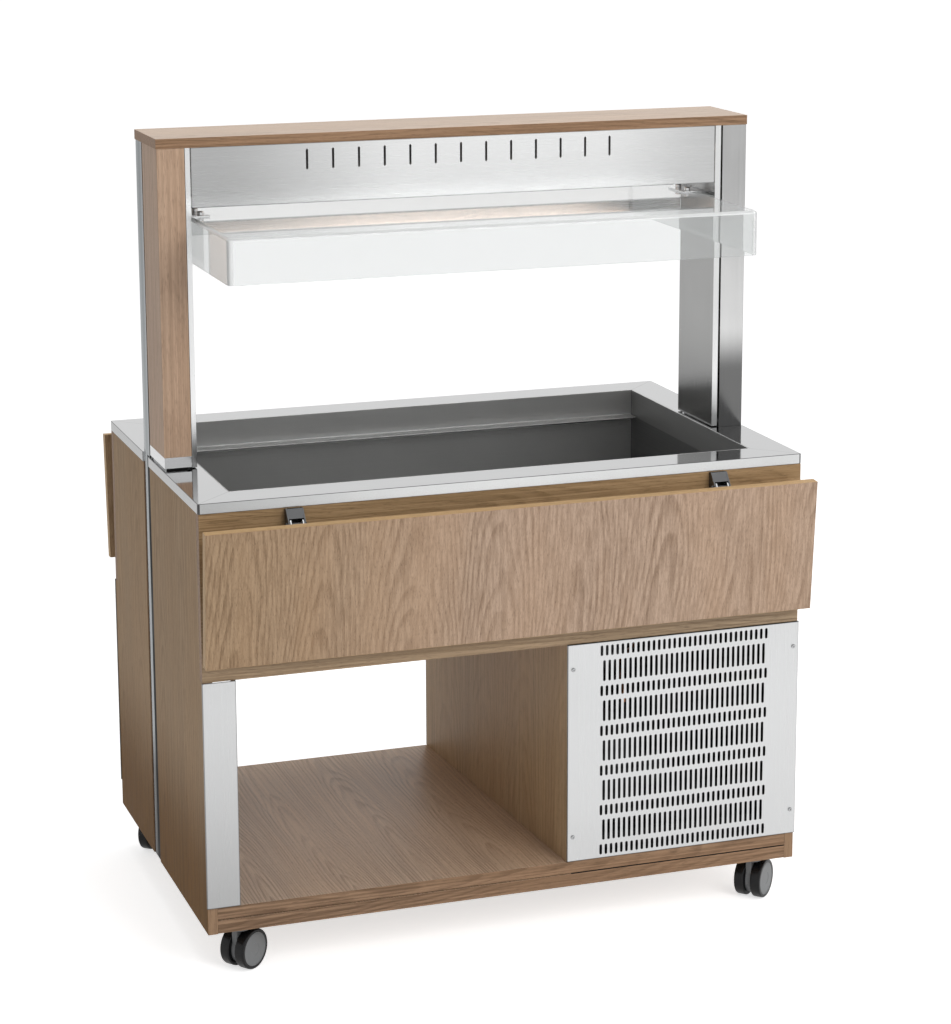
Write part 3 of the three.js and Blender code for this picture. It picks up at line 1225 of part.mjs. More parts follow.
casterPlaces.forEach(([x, y], i) => {
  const caster = new THREE.Group();
  caster.position.set(x, y, 0);
  caster.rotation.z = THREE.MathUtils.degToRad(CASTER_HEADINGS_DEG[i]);
  bar.add(caster);
  add(`caster_body_${casterNames[i]}`, casterBodyGeometry(), GREY_PLASTIC, caster);
  const offset = WHEEL_GAP / 2 + WHEEL_WIDTH / 2;
  [['a', 1], ['b', -1]].forEach(([letter, side]) => {
    const wheel = add(`wheel_${casterNames[i]}_${letter}`, wheelGeometry(), RUBBER, caster);
    wheel.position.set(side * offset, CASTER_TRAIL, WHEEL_RADIUS);
    if (side < 0) wheel.rotation.z = Math.PI;
  });
});

export default bar;
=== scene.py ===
"""A mobile salad bar: oak boards, polished steel, a clear hood and a lit bridge, dressed on its CAD frame.

Metres, +Z up, front -Y, origin on the floor under the middle of the cabinet.
"""

import json
import math

import bmesh
import bpy
from mathutils import Matrix, Vector

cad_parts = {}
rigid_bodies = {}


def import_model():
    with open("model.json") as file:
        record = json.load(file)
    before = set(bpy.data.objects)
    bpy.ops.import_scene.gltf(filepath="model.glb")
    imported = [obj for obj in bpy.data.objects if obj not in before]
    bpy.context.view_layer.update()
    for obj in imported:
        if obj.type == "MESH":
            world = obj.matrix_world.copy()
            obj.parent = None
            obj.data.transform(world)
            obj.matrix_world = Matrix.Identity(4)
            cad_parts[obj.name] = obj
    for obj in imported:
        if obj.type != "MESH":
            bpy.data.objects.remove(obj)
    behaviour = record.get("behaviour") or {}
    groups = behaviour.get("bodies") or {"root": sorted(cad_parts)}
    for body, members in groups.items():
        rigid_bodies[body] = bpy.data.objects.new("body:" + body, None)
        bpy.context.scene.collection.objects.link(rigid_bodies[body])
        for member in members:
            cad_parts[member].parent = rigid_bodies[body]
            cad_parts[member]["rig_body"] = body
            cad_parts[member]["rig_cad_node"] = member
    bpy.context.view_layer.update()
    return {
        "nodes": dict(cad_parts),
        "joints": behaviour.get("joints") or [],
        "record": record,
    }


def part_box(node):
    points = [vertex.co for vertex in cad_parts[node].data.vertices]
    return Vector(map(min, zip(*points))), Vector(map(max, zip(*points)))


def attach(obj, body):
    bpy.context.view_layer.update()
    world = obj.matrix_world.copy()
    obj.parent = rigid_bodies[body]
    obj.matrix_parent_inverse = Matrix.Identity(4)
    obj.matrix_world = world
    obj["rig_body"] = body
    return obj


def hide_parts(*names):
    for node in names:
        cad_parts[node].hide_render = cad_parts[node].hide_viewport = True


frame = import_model()
nodes = frame["nodes"]

MM = 0.001
TOUCH = MM / 10
FLAT = 0.9
TURN_TO_X = (0, math.pi / 2, 0)
TURN_TO_Y = (math.pi / 2, 0, 0)


# ---------------------------------------------------------------- modelling helpers


def deselect():
    bpy.ops.object.select_all(action="DESELECT")


def activate(piece):
    deselect()
    piece.select_set(True)
    bpy.context.view_layer.objects.active = piece


def settle(piece, name):
    """Applies the piece's place, turn and size to its mesh and names it."""
    activate(piece)
    bpy.ops.object.transform_apply(location=True, rotation=True, scale=True)
    piece.name = name
    piece.data.name = name
    return piece


def new_block(name, low, high):
    """A block between two corners, to be shaped further."""
    low, high = Vector(low), Vector(high)
    deselect()
    bpy.ops.mesh.primitive_cube_add(size=1, location=(low + high) / 2)
    piece = bpy.context.object
    piece.scale = high - low
    return settle(piece, name)


def new_round(name, radius, depth, sides, centre=(0, 0, 0), turn=(0, 0, 0)):
    """A round bar about its own Z axis, turned and set in place, to be shaped further."""
    deselect()
    bpy.ops.mesh.primitive_cylinder_add(
        vertices=sides, radius=radius, depth=depth, location=centre, rotation=turn
    )
    return settle(bpy.context.object, name)


def pick(piece, faces=None, edges=None):
    """Enters edit mode with only the faces or edges that pass the test selected."""
    activate(piece)
    bpy.ops.object.mode_set(mode="EDIT")
    bpy.ops.mesh.select_mode(type="FACE" if faces else "EDGE")
    bpy.ops.mesh.select_all(action="DESELECT")
    mesh = bmesh.from_edit_mesh(piece.data)
    for part in mesh.faces if faces else mesh.edges:
        part.select_set((faces or edges)(part))
    bmesh.update_edit_mesh(piece.data)


def done(piece):
    bpy.ops.object.mode_set(mode="OBJECT")
    return piece


def split(piece, point, normal):
    """Cuts the faces along a plane without parting them, so that each side can have its own look."""
    pick(piece, faces=lambda face: True)
    bpy.ops.mesh.bisect(plane_co=point, plane_no=normal)
    return done(piece)


def facing(direction):
    """A test for faces whose normal points along direction."""
    aim = Vector(direction).normalized()
    return lambda face: face.normal.dot(aim) > FLAT


def apply_modifier(piece, kind, **settings):
    activate(piece)
    modifier = piece.modifiers.new(kind.title(), kind)
    for key, value in settings.items():
        setattr(modifier, key, value)
    bpy.ops.object.modifier_apply(modifier=modifier.name)
    return piece


SHARP_EDGE = 30


def ease_edges(piece, width, segments=2):
    """Rounds every sharp edge, and shades the rest smooth."""
    apply_modifier(
        piece, "BEVEL", width=width, segments=segments, limit_method="ANGLE",
        angle_limit=math.radians(SHARP_EDGE), harden_normals=False, miter_outer="MITER_SHARP",
    )
    return smooth(piece, 50)


def smooth(piece, angle=SHARP_EDGE):
    """Shades smooth across soft edges, while broad flat faces stay truly flat."""
    activate(piece)
    bpy.ops.object.shade_smooth_by_angle(angle=math.radians(angle))
    return apply_modifier(piece, "WEIGHTED_NORMAL", keep_sharp=True, weight=100)


def copy_of(piece, name):
    """The same shape with a mesh of its own."""
    twin = piece.copy()
    twin.data = piece.data.copy()
    twin.name = name
    twin.data.name = name
    twin.parent = None
    twin.matrix_world = Matrix.Identity(4)
    bpy.context.scene.collection.objects.link(twin)
    return twin


MERGE_WITHIN = 0.01 * MM
FLAT_WITHIN = 0.5


def copy_node(node):
    """A merged copy of a CAD node, with its flat faces made whole, to be shaped further."""
    twin = copy_of(nodes[node], "skin_" + node)
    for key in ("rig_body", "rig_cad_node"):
        if key in twin:
            del twin[key]
    activate(twin)
    bpy.ops.object.mode_set(mode="EDIT")
    bpy.ops.mesh.select_all(action="SELECT")
    bpy.ops.mesh.remove_doubles(threshold=MERGE_WITHIN)
    bpy.ops.mesh.dissolve_limited(angle_limit=math.radians(FLAT_WITHIN))
    bpy.ops.object.mode_set(mode="OBJECT")
    twin.data.materials.clear()
    return twin


def move_mesh(piece, matrix):
    piece.data.transform(matrix)
    piece.data.update()
    return piece


def joined(pieces, name):
    deselect()
    for piece in pieces:
        piece.select_set(True)
    bpy.context.view_layer.objects.active = pieces[0]
    bpy.ops.object.join()
    pieces[0].name = name
    pieces[0].data.name = name
    return pieces[0]


def cut_away(piece, cutter):
    apply_modifier(piece, "BOOLEAN", object=cutter, operation="DIFFERENCE", solver="EXACT")
    bpy.data.objects.remove(cutter)
    return piece


# ---------------------------------------------------------------- material helpers


def link(tree, source, target):
    tree.links.new(source, target)


def feed(tree, value, socket):
    """Gives a socket a plain value, or links another node's socket to it."""
    if isinstance(value, bpy.types.NodeSocket):
        link(tree, value, socket)
    else:
        socket.default_value = value


def put(tree, kind, settings=None, **inputs):
    """Adds a node; its inputs are given by name, or as i0, i1 and so on by their order."""
    made = tree.nodes.new("ShaderNode" + kind)
    for key, value in (settings or {}).items():
        setattr(made, key, value)
    for key, value in inputs.items():
        by_order = key[0] == "i" and key[1:].isdigit()
        feed(tree, value, made.inputs[int(key[1:]) if by_order else key.replace("_", " ")])
    return made


def math_node(tree, operation, a, b=0.0, c=0.0, clamp=False):
    made = put(tree, "Math", {"operation": operation, "use_clamp": clamp}, i0=a, i1=b, i2=c)
    return made.outputs[0]


def ramp(tree, value, low, high, to_low=0.0, to_high=1.0):
    made = put(
        tree, "MapRange", {"interpolation_type": "SMOOTHSTEP"}, Value=value,
        From_Min=low, From_Max=high, To_Min=to_low, To_Max=to_high,
    )
    return made.outputs[0]


def blend_colours(tree, factor, first, second, how="MIX"):
    made = tree.nodes.new("ShaderNodeMix")
    made.data_type = "RGBA"
    made.blend_type = how
    for number, value in ((0, factor), (6, first), (7, second)):
        feed(tree, value, made.inputs[number])
    return made.outputs[2]


def new_group(name, inputs, outputs):
    """An empty node group; inputs and outputs are (name, kind, default)."""
    tree = bpy.data.node_groups.new(name, "ShaderNodeTree")
    for label, kind, default in inputs:
        socket = tree.interface.new_socket(label, in_out="INPUT", socket_type="NodeSocket" + kind)
        if default is not None:
            socket.default_value = default
    for label, kind in outputs:
        tree.interface.new_socket(label, in_out="OUTPUT", socket_type="NodeSocket" + kind)
    return tree, tree.nodes.new("NodeGroupInput"), tree.nodes.new("NodeGroupOutput")


def place_group(tree, group, **inputs):
    made = tree.nodes.new("ShaderNodeGroup")
    made.node_tree = group
    for key, value in inputs.items():
        feed(tree, value, made.inputs[key.replace("_", " ")])
    return made


def new_material(name):
    look = bpy.data.materials.new(name)
    look.use_nodes = True
    tree = look.node_tree
    shader = next(n for n in tree.nodes if n.type == "BSDF_PRINCIPLED")
    return look, tree, shader


def own_place(tree, turn=(0, 0, 0), shift=(0, 0, 0)):
    """Object coordinates in metres, shifted and turned so that a pattern's long way is Z."""
    coordinates = put(tree, "TexCoord")
    mapping = put(
        tree, "Mapping", Vector=coordinates.outputs["Object"], Location=shift,
        Rotation=[math.radians(a) for a in turn],
    )
    return mapping.outputs[0]


def stretched(tree, place, across, along):
    """Scales a place so that a noise read there is long in Z and fine across."""
    made = put(tree, "VectorMath", {"operation": "MULTIPLY"}, i0=place, i1=(across, across, along))
    return made.outputs[0]


def noise(tree, place, scale=1.0, detail=2.0, roughness=0.5):
    made = put(
        tree, "TexNoise", {"noise_dimensions": "3D"}, Vector=place, Scale=scale, Detail=detail,
        Roughness=roughness,
    )
    return made.outputs[0]


def bump(tree, height, distance, strength=1.0):
    return put(tree, "Bump", Height=height, Distance=distance, Strength=strength).outputs[0]


# ---------------------------------------------------------------- shared effects


RING_PITCH = 5.6 * MM
HALF_PLANK = 78 * MM
EDGE_SHARE = 0.83
HEART_SWAY = 100 * MM
BOARD_SLIP = 160 * MM
SLIP_STEP = 12.7
ARCH_SLOPE = 0.055
ARCH_START = 20 * MM
ARCH_WANDER = 30 * MM
RING_RAGGED = 0.5


def make_oak_grain():
    """Plain-sawn oak with its long way along Z: arched rings, streaks, fibres and short dark pores."""
    tree, given, result = new_group(
        "oak_grain",
        [("Place", "Vector", None), ("Ring Pitch", "Float", RING_PITCH), ("Plank", "Float", HALF_PLANK)],
        [("Rings", "Float"), ("Streaks", "Float"), ("Fibre", "Float"), ("Pores", "Float"),
         ("Broad", "Float"), ("Height", "Float")],
    )
    place = given.outputs["Place"]
    parts = put(tree, "SeparateXYZ", Vector=place)
    x, y, z = parts.outputs
    across = math_node(tree, "ADD", x, math_node(tree, "MULTIPLY", y, EDGE_SHARE))
    sway = noise(tree, stretched(tree, place, 3.1, 1.6), detail=2.0)
    aside = math_node(tree, "MULTIPLY_ADD", sway, HEART_SWAY, -HEART_SWAY / 2)
    swayed = math_node(tree, "ADD", across, aside)
    plank = given.outputs["Plank"]
    from_heart = math_node(tree, "PINGPONG", swayed, plank)
    breadth = math_node(tree, "MULTIPLY", plank, 2.0)
    board = math_node(tree, "ROUND", math_node(tree, "DIVIDE", swayed, breadth))
    slip = math_node(tree, "SINE", math_node(tree, "MULTIPLY", board, SLIP_STEP))
    climb = math_node(tree, "MULTIPLY_ADD", slip, BOARD_SLIP, z)
    depth = math_node(tree, "MULTIPLY_ADD", climb, ARCH_SLOPE, ARCH_START)
    rise = noise(tree, stretched(tree, place, 5.0, 3.0), detail=2.0)
    wander = math_node(tree, "MULTIPLY_ADD", rise, ARCH_WANDER, -ARCH_WANDER / 2)
    depth = math_node(tree, "ADD", depth, wander)
    square = math_node(
        tree, "ADD", math_node(tree, "POWER", from_heart, 2.0), math_node(tree, "POWER", depth, 2.0)
    )
    ragged = noise(tree, stretched(tree, place, 90.0, 5.0), detail=3.0)
    rings = math_node(tree, "DIVIDE", math_node(tree, "SQRT", square), given.outputs["Ring Pitch"])
    rings = math_node(tree, "ADD", rings, math_node(tree, "MULTIPLY", ragged, RING_RAGGED))
    share = math_node(tree, "FRACT", rings)
    figure = math_node(
        tree, "MAXIMUM", ramp(tree, share, 0.45, 0.92), ramp(tree, share, 0.0, 0.12, 1.0, 0.0)
    )
    patches = noise(tree, stretched(tree, place, 26.0, 4.0), detail=2.0)
    strength = ramp(tree, patches, 0.32, 0.62, 0.35, 1.0)
    link(tree, math_node(tree, "MULTIPLY", figure, strength), result.inputs["Rings"])
    streaks = noise(tree, stretched(tree, place, 230.0, 1.7), detail=4.0, roughness=0.65)
    link(tree, ramp(tree, streaks, 0.38, 0.62), result.inputs["Streaks"])
    fibre = noise(tree, stretched(tree, place, 1000.0, 16.0), detail=3.0, roughness=0.6)
    link(tree, fibre, result.inputs["Fibre"])
    dashes = noise(tree, stretched(tree, place, 1400.0, 60.0), detail=1.0)
    pores = ramp(tree, math_node(tree, "MULTIPLY_ADD", figure, 0.05, dashes), 0.6, 0.72)
    link(tree, pores, result.inputs["Pores"])
    broad = noise(tree, stretched(tree, place, 8.0, 1.3), detail=2.0)
    link(tree, ramp(tree, broad, 0.35, 0.65), result.inputs["Broad"])
    height = math_node(tree, "MULTIPLY_ADD", pores, -1.0, math_node(tree, "MULTIPLY", fibre, 0.35))
    link(tree, height, result.inputs["Height"])
    return tree


def make_brushed_lines():
    """Fine parallel brush marks along Z, with faint cloudy handling marks over them."""
    tree, given, result = new_group(
        "brushed_lines",
        [("Place", "Vector", None), ("Fineness", "Float", 1.0)],
        [("Lines", "Float"), ("Clouds", "Float"), ("Height", "Float")],
    )
    place = given.outputs["Place"]
    scaled = put(
        tree, "VectorMath", {"operation": "SCALE"}, i0=place, Scale=given.outputs["Fineness"]
    ).outputs[0]
    coarse = noise(tree, stretched(tree, scaled, 900.0, 3.0), detail=2.0)
    fine = noise(tree, stretched(tree, scaled, 3600.0, 9.0), detail=1.0)
    lines = math_node(tree, "MULTIPLY_ADD", coarse, 0.6, math_node(tree, "MULTIPLY", fine, 0.4))
    link(tree, lines, result.inputs["Lines"])
    link(tree, noise(tree, place, scale=7.0, detail=3.0), result.inputs["Clouds"])
    link(tree, lines, result.inputs["Height"])
    return tree


def make_fine_speckle():
    """Small even speckle and broad uneven tone for moulded, painted and cast surfaces."""
    tree, given, result = new_group(
        "fine_speckle",
        [("Place", "Vector", None), ("Grain", "Float", 900.0)],
        [("Speckle", "Float"), ("Uneven", "Float")],
    )
    place = given.outputs["Place"]
    link(tree, noise(tree, place, scale=given.outputs["Grain"], detail=2.0), result.inputs["Speckle"])
    link(tree, noise(tree, place, scale=11.0, detail=3.0), result.inputs["Uneven"])
    return tree


OAK_GRAIN = make_oak_grain()
BRUSHED_LINES = make_brushed_lines()
FINE_SPECKLE = make_fine_speckle()


# ---------------------------------------------------------------- materials


ALONG_X = 0
ALONG_Y = 1
ALONG_Z = 2
GRAIN_UP = (0, 0, 0)
GRAIN_ALONG_X = (0, -90, 0)
GRAIN_ALONG_Y = (90, 0, 0)
WHITE = (1, 1, 1, 1)

WARM_DRIFT = (1.02, 0.94, 0.84)
DRIFT_STRENGTH = 0.35
PORE_SHADE = 0.6
PORE_STRENGTH = 0.5
OAK_RELIEF = 0.06 * MM
BRUSH_RELIEF = 0.01 * MM
MIRROR_RELIEF = 0.003 * MM
PLATE_RELIEF = 0.006 * MM
MOULD_RELIEF = 0.02 * MM


def tinted(tree, tone, axis, start, end, tint):
    """Multiplies a colour by a tint at start, which is gone at end, in metres along an axis."""
    along = put(tree, "SeparateXYZ", Vector=own_place(tree)).outputs[axis]
    veil = blend_colours(tree, ramp(tree, along, start, end), tint + (1,), WHITE)
    return blend_colours(tree, 1.0, tone, veil, "MULTIPLY")


def oak(name, turn, shift, light, dark, rough=0.5, bold=0.38, streaky=0.5, cast=None, shine=0.3):
    """Oak laminate with its grain along one axis; bold and streaky set how strong rings and streaks are.

    cast is the axis, start, end and tint of the light that the board's surroundings throw on it.
    """
    look, tree, shader = new_material(name)
    grain = place_group(tree, OAK_GRAIN, Place=own_place(tree, turn, shift))
    share = math_node(tree, "MULTIPLY", grain.outputs["Rings"], bold)
    share = math_node(tree, "MULTIPLY_ADD", grain.outputs["Streaks"], streaky, share)
    tone = blend_colours(tree, share, light + (1,), dark + (1,))
    warmer = tuple(part * factor for part, factor in zip(light, WARM_DRIFT)) + (1,)
    drift = math_node(tree, "MULTIPLY", grain.outputs["Broad"], DRIFT_STRENGTH)
    tone = blend_colours(tree, drift, tone, warmer)
    fibre = ramp(tree, grain.outputs["Fibre"], 0.25, 0.75, 0.9, 1.09)
    tone = blend_colours(tree, 1.0, tone, fibre, "MULTIPLY")
    pores = math_node(tree, "MULTIPLY", grain.outputs["Pores"], PORE_STRENGTH)
    tone = blend_colours(tree, pores, tone, tuple(part * PORE_SHADE for part in dark) + (1,))
    if cast:
        tone = tinted(tree, tone, *cast)
    link(tree, tone, shader.inputs["Base Color"])
    spread = ramp(tree, grain.outputs["Fibre"], 0.2, 0.8, rough - 0.06, rough + 0.08)
    link(tree, spread, shader.inputs["Roughness"])
    link(tree, bump(tree, grain.outputs["Height"], OAK_RELIEF, 0.4), shader.inputs["Normal"])
    shader.inputs["Specular IOR Level"].default_value = shine
    return look


def painted_shade(axis, start, end, floor):
    """A painted shade on sheet steel: darker, to the share floor at start, and gone at end, along an axis.
    """
    return axis, start, end, floor


def sheet_steel(name, colour, rough, turn, contrast=0.08, relief=BRUSH_RELIEF, painted_shades=(), seams=None):
    """Bare sheet steel with brush marks along one axis, darkened by its painted shade and by its welded
    seams.
    """
    look, tree, shader = new_material(name)
    lines = place_group(tree, BRUSHED_LINES, Place=own_place(tree, turn))
    tone = ramp(tree, lines.outputs["Lines"], 0.3, 0.7, 1.0 - contrast, 1.0)
    cloud = ramp(tree, lines.outputs["Clouds"], 0.3, 0.7, 1.0 - contrast * 0.6, 1.0)
    both = math_node(tree, "MULTIPLY", tone, cloud)
    parts = put(tree, "SeparateXYZ", Vector=own_place(tree))
    for axis, start, end, floor in painted_shades:
        both = math_node(tree, "MULTIPLY", both, ramp(tree, parts.outputs[axis], start, end, floor, 1.0))
    if seams:
        both = math_node(tree, "MULTIPLY", both, seams(tree))
    link(tree, blend_colours(tree, 1.0, colour + (1,), both, "MULTIPLY"), shader.inputs["Base Color"])
    spread = ramp(tree, lines.outputs["Lines"], 0.3, 0.7, rough * 0.85, rough * 1.25)
    link(tree, spread, shader.inputs["Roughness"])
    link(tree, bump(tree, lines.outputs["Height"], relief, 0.3), shader.inputs["Normal"])
    shader.inputs["Metallic"].default_value = 1.0
    return look


OUTLINE_WIDTH = 1.3 * MM
OUTLINE_SHADE = 0.4


def outline_painted_shades(node):
    """Painted shade: a fine dark line inside the four edges of an upright plate."""
    low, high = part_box(node)
    near, far = OUTLINE_WIDTH * 0.5, OUTLINE_WIDTH * 1.5
    painted_shades = []
    for axis in (ALONG_X, ALONG_Z):
        painted_shades.append(painted_shade(axis, low[axis] + near, low[axis] + far, OUTLINE_SHADE))
        painted_shades.append(painted_shade(axis, high[axis] - near, high[axis] - far, OUTLINE_SHADE))
    return tuple(painted_shades)


MITRE_WIDTH = 0.7 * MM
MITRE_SHADE = 0.45


def mitre_seams(tree):
    """Ground weld lines that run from each outer corner of the worktop to the well's corner."""
    rim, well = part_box("worktop")[1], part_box("well_tub")[1]
    parts = put(tree, "SeparateXYZ", Vector=own_place(tree))
    x = math_node(tree, "ABSOLUTE", parts.outputs[0])
    y = math_node(tree, "ABSOLUTE", parts.outputs[1])
    slope = (rim.x - well.x) / (rim.y - well.y)
    run = math_node(tree, "MULTIPLY_ADD", y, slope, well.x - well.y * slope)
    away = math_node(tree, "ABSOLUTE", math_node(tree, "SUBTRACT", x, run))
    line = ramp(tree, away, MITRE_WIDTH * 0.6, MITRE_WIDTH * 1.4, 1.0, 0.0)
    outside = math_node(tree, "GREATER_THAN", x, well.x)
    return math_node(tree, "MULTIPLY_ADD", math_node(tree, "MULTIPLY", line, outside), -MITRE_SHADE, 1.0)


def plain(name, colour, rough, metal=0.0, grain=900.0, relief=MOULD_RELIEF, contrast=0.1, shine=0.5):
    """A moulded, painted or plated surface with fine speckle and slightly uneven tone."""
    look, tree, shader = new_material(name)
    speckle = place_group(tree, FINE_SPECKLE, Place=own_place(tree), Grain=grain)
    tone = ramp(tree, speckle.outputs["Uneven"], 0.3, 0.7, 1.0 - contrast, 1.0)
    link(tree, blend_colours(tree, 1.0, colour + (1,), tone, "MULTIPLY"), shader.inputs["Base Color"])
    spread = ramp(tree, speckle.outputs["Uneven"], 0.3, 0.7, rough * 0.85, rough * 1.15)
    link(tree, spread, shader.inputs["Roughness"])
    link(tree, bump(tree, speckle.outputs["Speckle"], relief, 0.35), shader.inputs["Normal"])
    shader.inputs["Metallic"].default_value = metal
    shader.inputs["Specular IOR Level"].default_value = shine
    return look


def acrylic(name, colour, clear):
    """Clear acrylic with faint wiping marks in its gloss; clear is the share of light let through."""
    look, tree, shader = new_material(name)
    speckle = place_group(tree, FINE_SPECKLE, Place=own_place(tree), Grain=260.0)
    haze = ramp(tree, speckle.outputs["Uneven"], 0.35, 0.75, 0.01, 0.03)
    link(tree, haze, shader.inputs["Roughness"])
    link(tree, bump(tree, speckle.outputs["Uneven"], 0.08 * MM, 0.05), shader.inputs["Normal"])
    shader.inputs["Base Color"].default_value = colour + (1,)
    shader.inputs["Transmission Weight"].default_value = clear
    shader.inputs["IOR"].default_value = 1.49
    return look


GLOW_STRENGTH = 2.8
GLOW_BRIGHT = (1.0, 0.83, 0.72, 1)
GLOW_END = (1.0, 0.66, 0.46, 1)
GLOW_FADE_START = 370 * MM
GLOW_FADE_END = 415 * MM


def make_lamp_glow():
    """A warm lit tube, a little dimmer towards its ends."""
    look, tree, shader = new_material("lamp_glow")
    parts = put(tree, "SeparateXYZ", Vector=own_place(tree))
    end = math_node(tree, "ABSOLUTE", parts.outputs[0])
    dimmed = ramp(tree, end, GLOW_FADE_START, GLOW_FADE_END, 1.0, 0.45)
    warm = blend_colours(tree, dimmed, GLOW_END, GLOW_BRIGHT)
    link(tree, warm, shader.inputs["Base Color"])
    link(tree, warm, shader.inputs["Emission Color"])
    shader.inputs["Emission Strength"].default_value = GLOW_STRENGTH
    shader.inputs["Roughness"].default_value = 0.3
    return look


# ---------------------------------------------------------------- oak finishes


# Painted light and shade on the oak: the side panels darker and warmer towards the floor, where their sheen
# is gone; the leaves darker towards their left end; the aprons lighter and cooler in their lower part.
SIDE_CAST = (ALONG_Z, 0.16, 0.45, (0.43, 0.31, 0.14))
LEAF_CAST = (ALONG_X, -0.6, 0.05, (0.84, 0.80, 0.66))
APRON_CAST = (ALONG_Z, 0.60, 0.78, (1.15, 1.28, 1.6))

oak_leaf = oak(
    "oak_leaf", GRAIN_UP, (0.06, 0.4, 0.3),
    light=(0.485, 0.348, 0.256), dark=(0.25, 0.162, 0.105), bold=0.42, cast=LEAF_CAST,
)
oak_side = oak(
    "oak_side", GRAIN_UP, (0.5, 0.13, 0.1),
    light=(0.42, 0.295, 0.185), dark=(0.22, 0.146, 0.084), rough=0.6, bold=0.22, cast=SIDE_CAST, shine=0.08,
)
oak_post = oak(
    "oak_post", GRAIN_UP, (0.93, 0.21, 0.75),
    light=(0.52, 0.365, 0.262), dark=(0.32, 0.208, 0.138), bold=0.12, streaky=0.6,
)
oak_partition = oak(
    "oak_partition", GRAIN_UP, (0.33, 0.02, 0.9),
    light=(0.53, 0.37, 0.215), dark=(0.30, 0.19, 0.10), bold=0.25,
)
oak_floor = oak(
    "oak_floor", GRAIN_ALONG_Y, (0.12, 0.55, 0.2),
    light=(0.54, 0.39, 0.275), dark=(0.28, 0.185, 0.12), rough=0.42, bold=0.5,
)
oak_top = oak(
    "oak_top", GRAIN_ALONG_X, (0.62, 0.15, 0.7),
    light=(0.53, 0.425, 0.345), dark=(0.36, 0.27, 0.205), bold=0.3,
)
oak_apron = oak(
    "oak_apron", GRAIN_ALONG_X, (0.72, 0.31, 0.4),
    light=(0.40, 0.265, 0.14), dark=(0.19, 0.115, 0.052), bold=0.3, streaky=0.6, cast=APRON_CAST,
)
oak_edge = oak(
    "oak_edge", GRAIN_ALONG_X, (0.41, 0.77, 0.5),
    light=(0.345, 0.215, 0.13), dark=(0.155, 0.09, 0.05), bold=0.5, streaky=0.75,
)
# The leaf edges are painted lighter and more golden than the other oak edges: partly their own tone, partly
# a painted highlight where the upper edge catches the light.
oak_leaf_edge = oak(
    "oak_leaf_edge", GRAIN_ALONG_X, (0.3, 0.2, 0.6),
    light=(0.52, 0.345, 0.175), dark=(0.38, 0.235, 0.11), bold=0.2,
)
oak_edge_up = oak(
    "oak_edge_up", GRAIN_UP, (0.21, 0.57, 0.5),
    light=(0.34, 0.22, 0.135), dark=(0.21, 0.128, 0.076), bold=0.35,
)


# ---------------------------------------------------------------- steel finishes


WORKTOP_TOP = 880 * MM
LEDGE_TOP = 830 * MM
LEDGE_LIP = 4 * MM
WELL_SIDE = 288 * MM

worktop_steel = sheet_steel(
    "polished_worktop", (0.49, 0.493, 0.496), 0.07, GRAIN_ALONG_X,
    contrast=0.03, relief=MIRROR_RELIEF, seams=mitre_seams,
)
# The satin edge is painted darker towards its left end: painted shade.
worktop_edge_steel = sheet_steel(
    "worktop_edge_steel", (0.62, 0.625, 0.625), 0.18, GRAIN_ALONG_X,
    contrast=0.06, painted_shades=(painted_shade(ALONG_X, -0.6, -0.1, 0.62),),
)
# Near-black steel for the rounded fold of the worktop's edge: a painted shade line.
fold_shade_steel = sheet_steel("fold_shade_steel", (0.08, 0.08, 0.082), 0.3, GRAIN_ALONG_X, contrast=0.05)
shoe_steel = sheet_steel("shoe_steel", (0.72, 0.725, 0.73), 0.15, GRAIN_ALONG_X, contrast=0.05)
# The post covers' flanges and web are one steel, painted lighter on the flanges that face the light and
# darker on the web; both are painted darker towards the worktop: painted light and shade.
cover_web_steel = sheet_steel(
    "cover_web_steel", (0.41, 0.41, 0.405), 0.2, GRAIN_UP,
    contrast=0.09, painted_shades=(painted_shade(ALONG_Z, WORKTOP_TOP, 1.12, 0.55),),
)
cover_flange_steel = sheet_steel(
    "cover_flange_steel", (0.86, 0.865, 0.865), 0.2, GRAIN_UP,
    contrast=0.05, painted_shades=(painted_shade(ALONG_Z, WORKTOP_TOP, 1.0, 0.4),),
)
# The left post's outer strip is painted darker than its tube and near black towards the floor: painted
# shade and a painted reflection of the dark floor.
strip_steel = sheet_steel(
    "strip_steel", (0.25, 0.27, 0.28), 0.2, GRAIN_UP, painted_shades=(painted_shade(ALONG_Z, 0.25, 0.36, 0.02),)
)
# Painted shade on the tubes: darker towards the worktop, and on the outer face of the right post.
upright_steel = sheet_steel(
    "upright_steel", (0.57, 0.57, 0.568), 0.2, GRAIN_UP,
    contrast=0.12, painted_shades=(painted_shade(ALONG_Z, 0.99, 1.08, 0.24), painted_shade(ALONG_X, 0.5722, 0.5705, 0.3)),
)
# The fascias are painted darker towards both ends, a painted reflection of darker surroundings, with a fine
# painted shade line inside their edges.
fascia_steel = sheet_steel(
    "fascia_steel", (0.92, 0.925, 0.925), 0.24, GRAIN_ALONG_X,
    contrast=0.02, relief=MIRROR_RELIEF, painted_shades=(
        painted_shade(ALONG_X, -0.5, -0.06, 0.54), painted_shade(ALONG_X, 0.52, 0.26, 0.7), *outline_painted_shades("fascia_front"),
    ),
)
# Painted shade on the corner plates: a fine dark line inside their edges, and darker towards the floor.
plate_steel = sheet_steel(
    "plate_steel", (0.565, 0.57, 0.573), 0.3, GRAIN_UP, contrast=0.035, relief=PLATE_RELIEF,
    painted_shades=(*outline_painted_shades("corner_plate_front"), painted_shade(ALONG_Z, 0.1, 0.5, 0.74)),
)
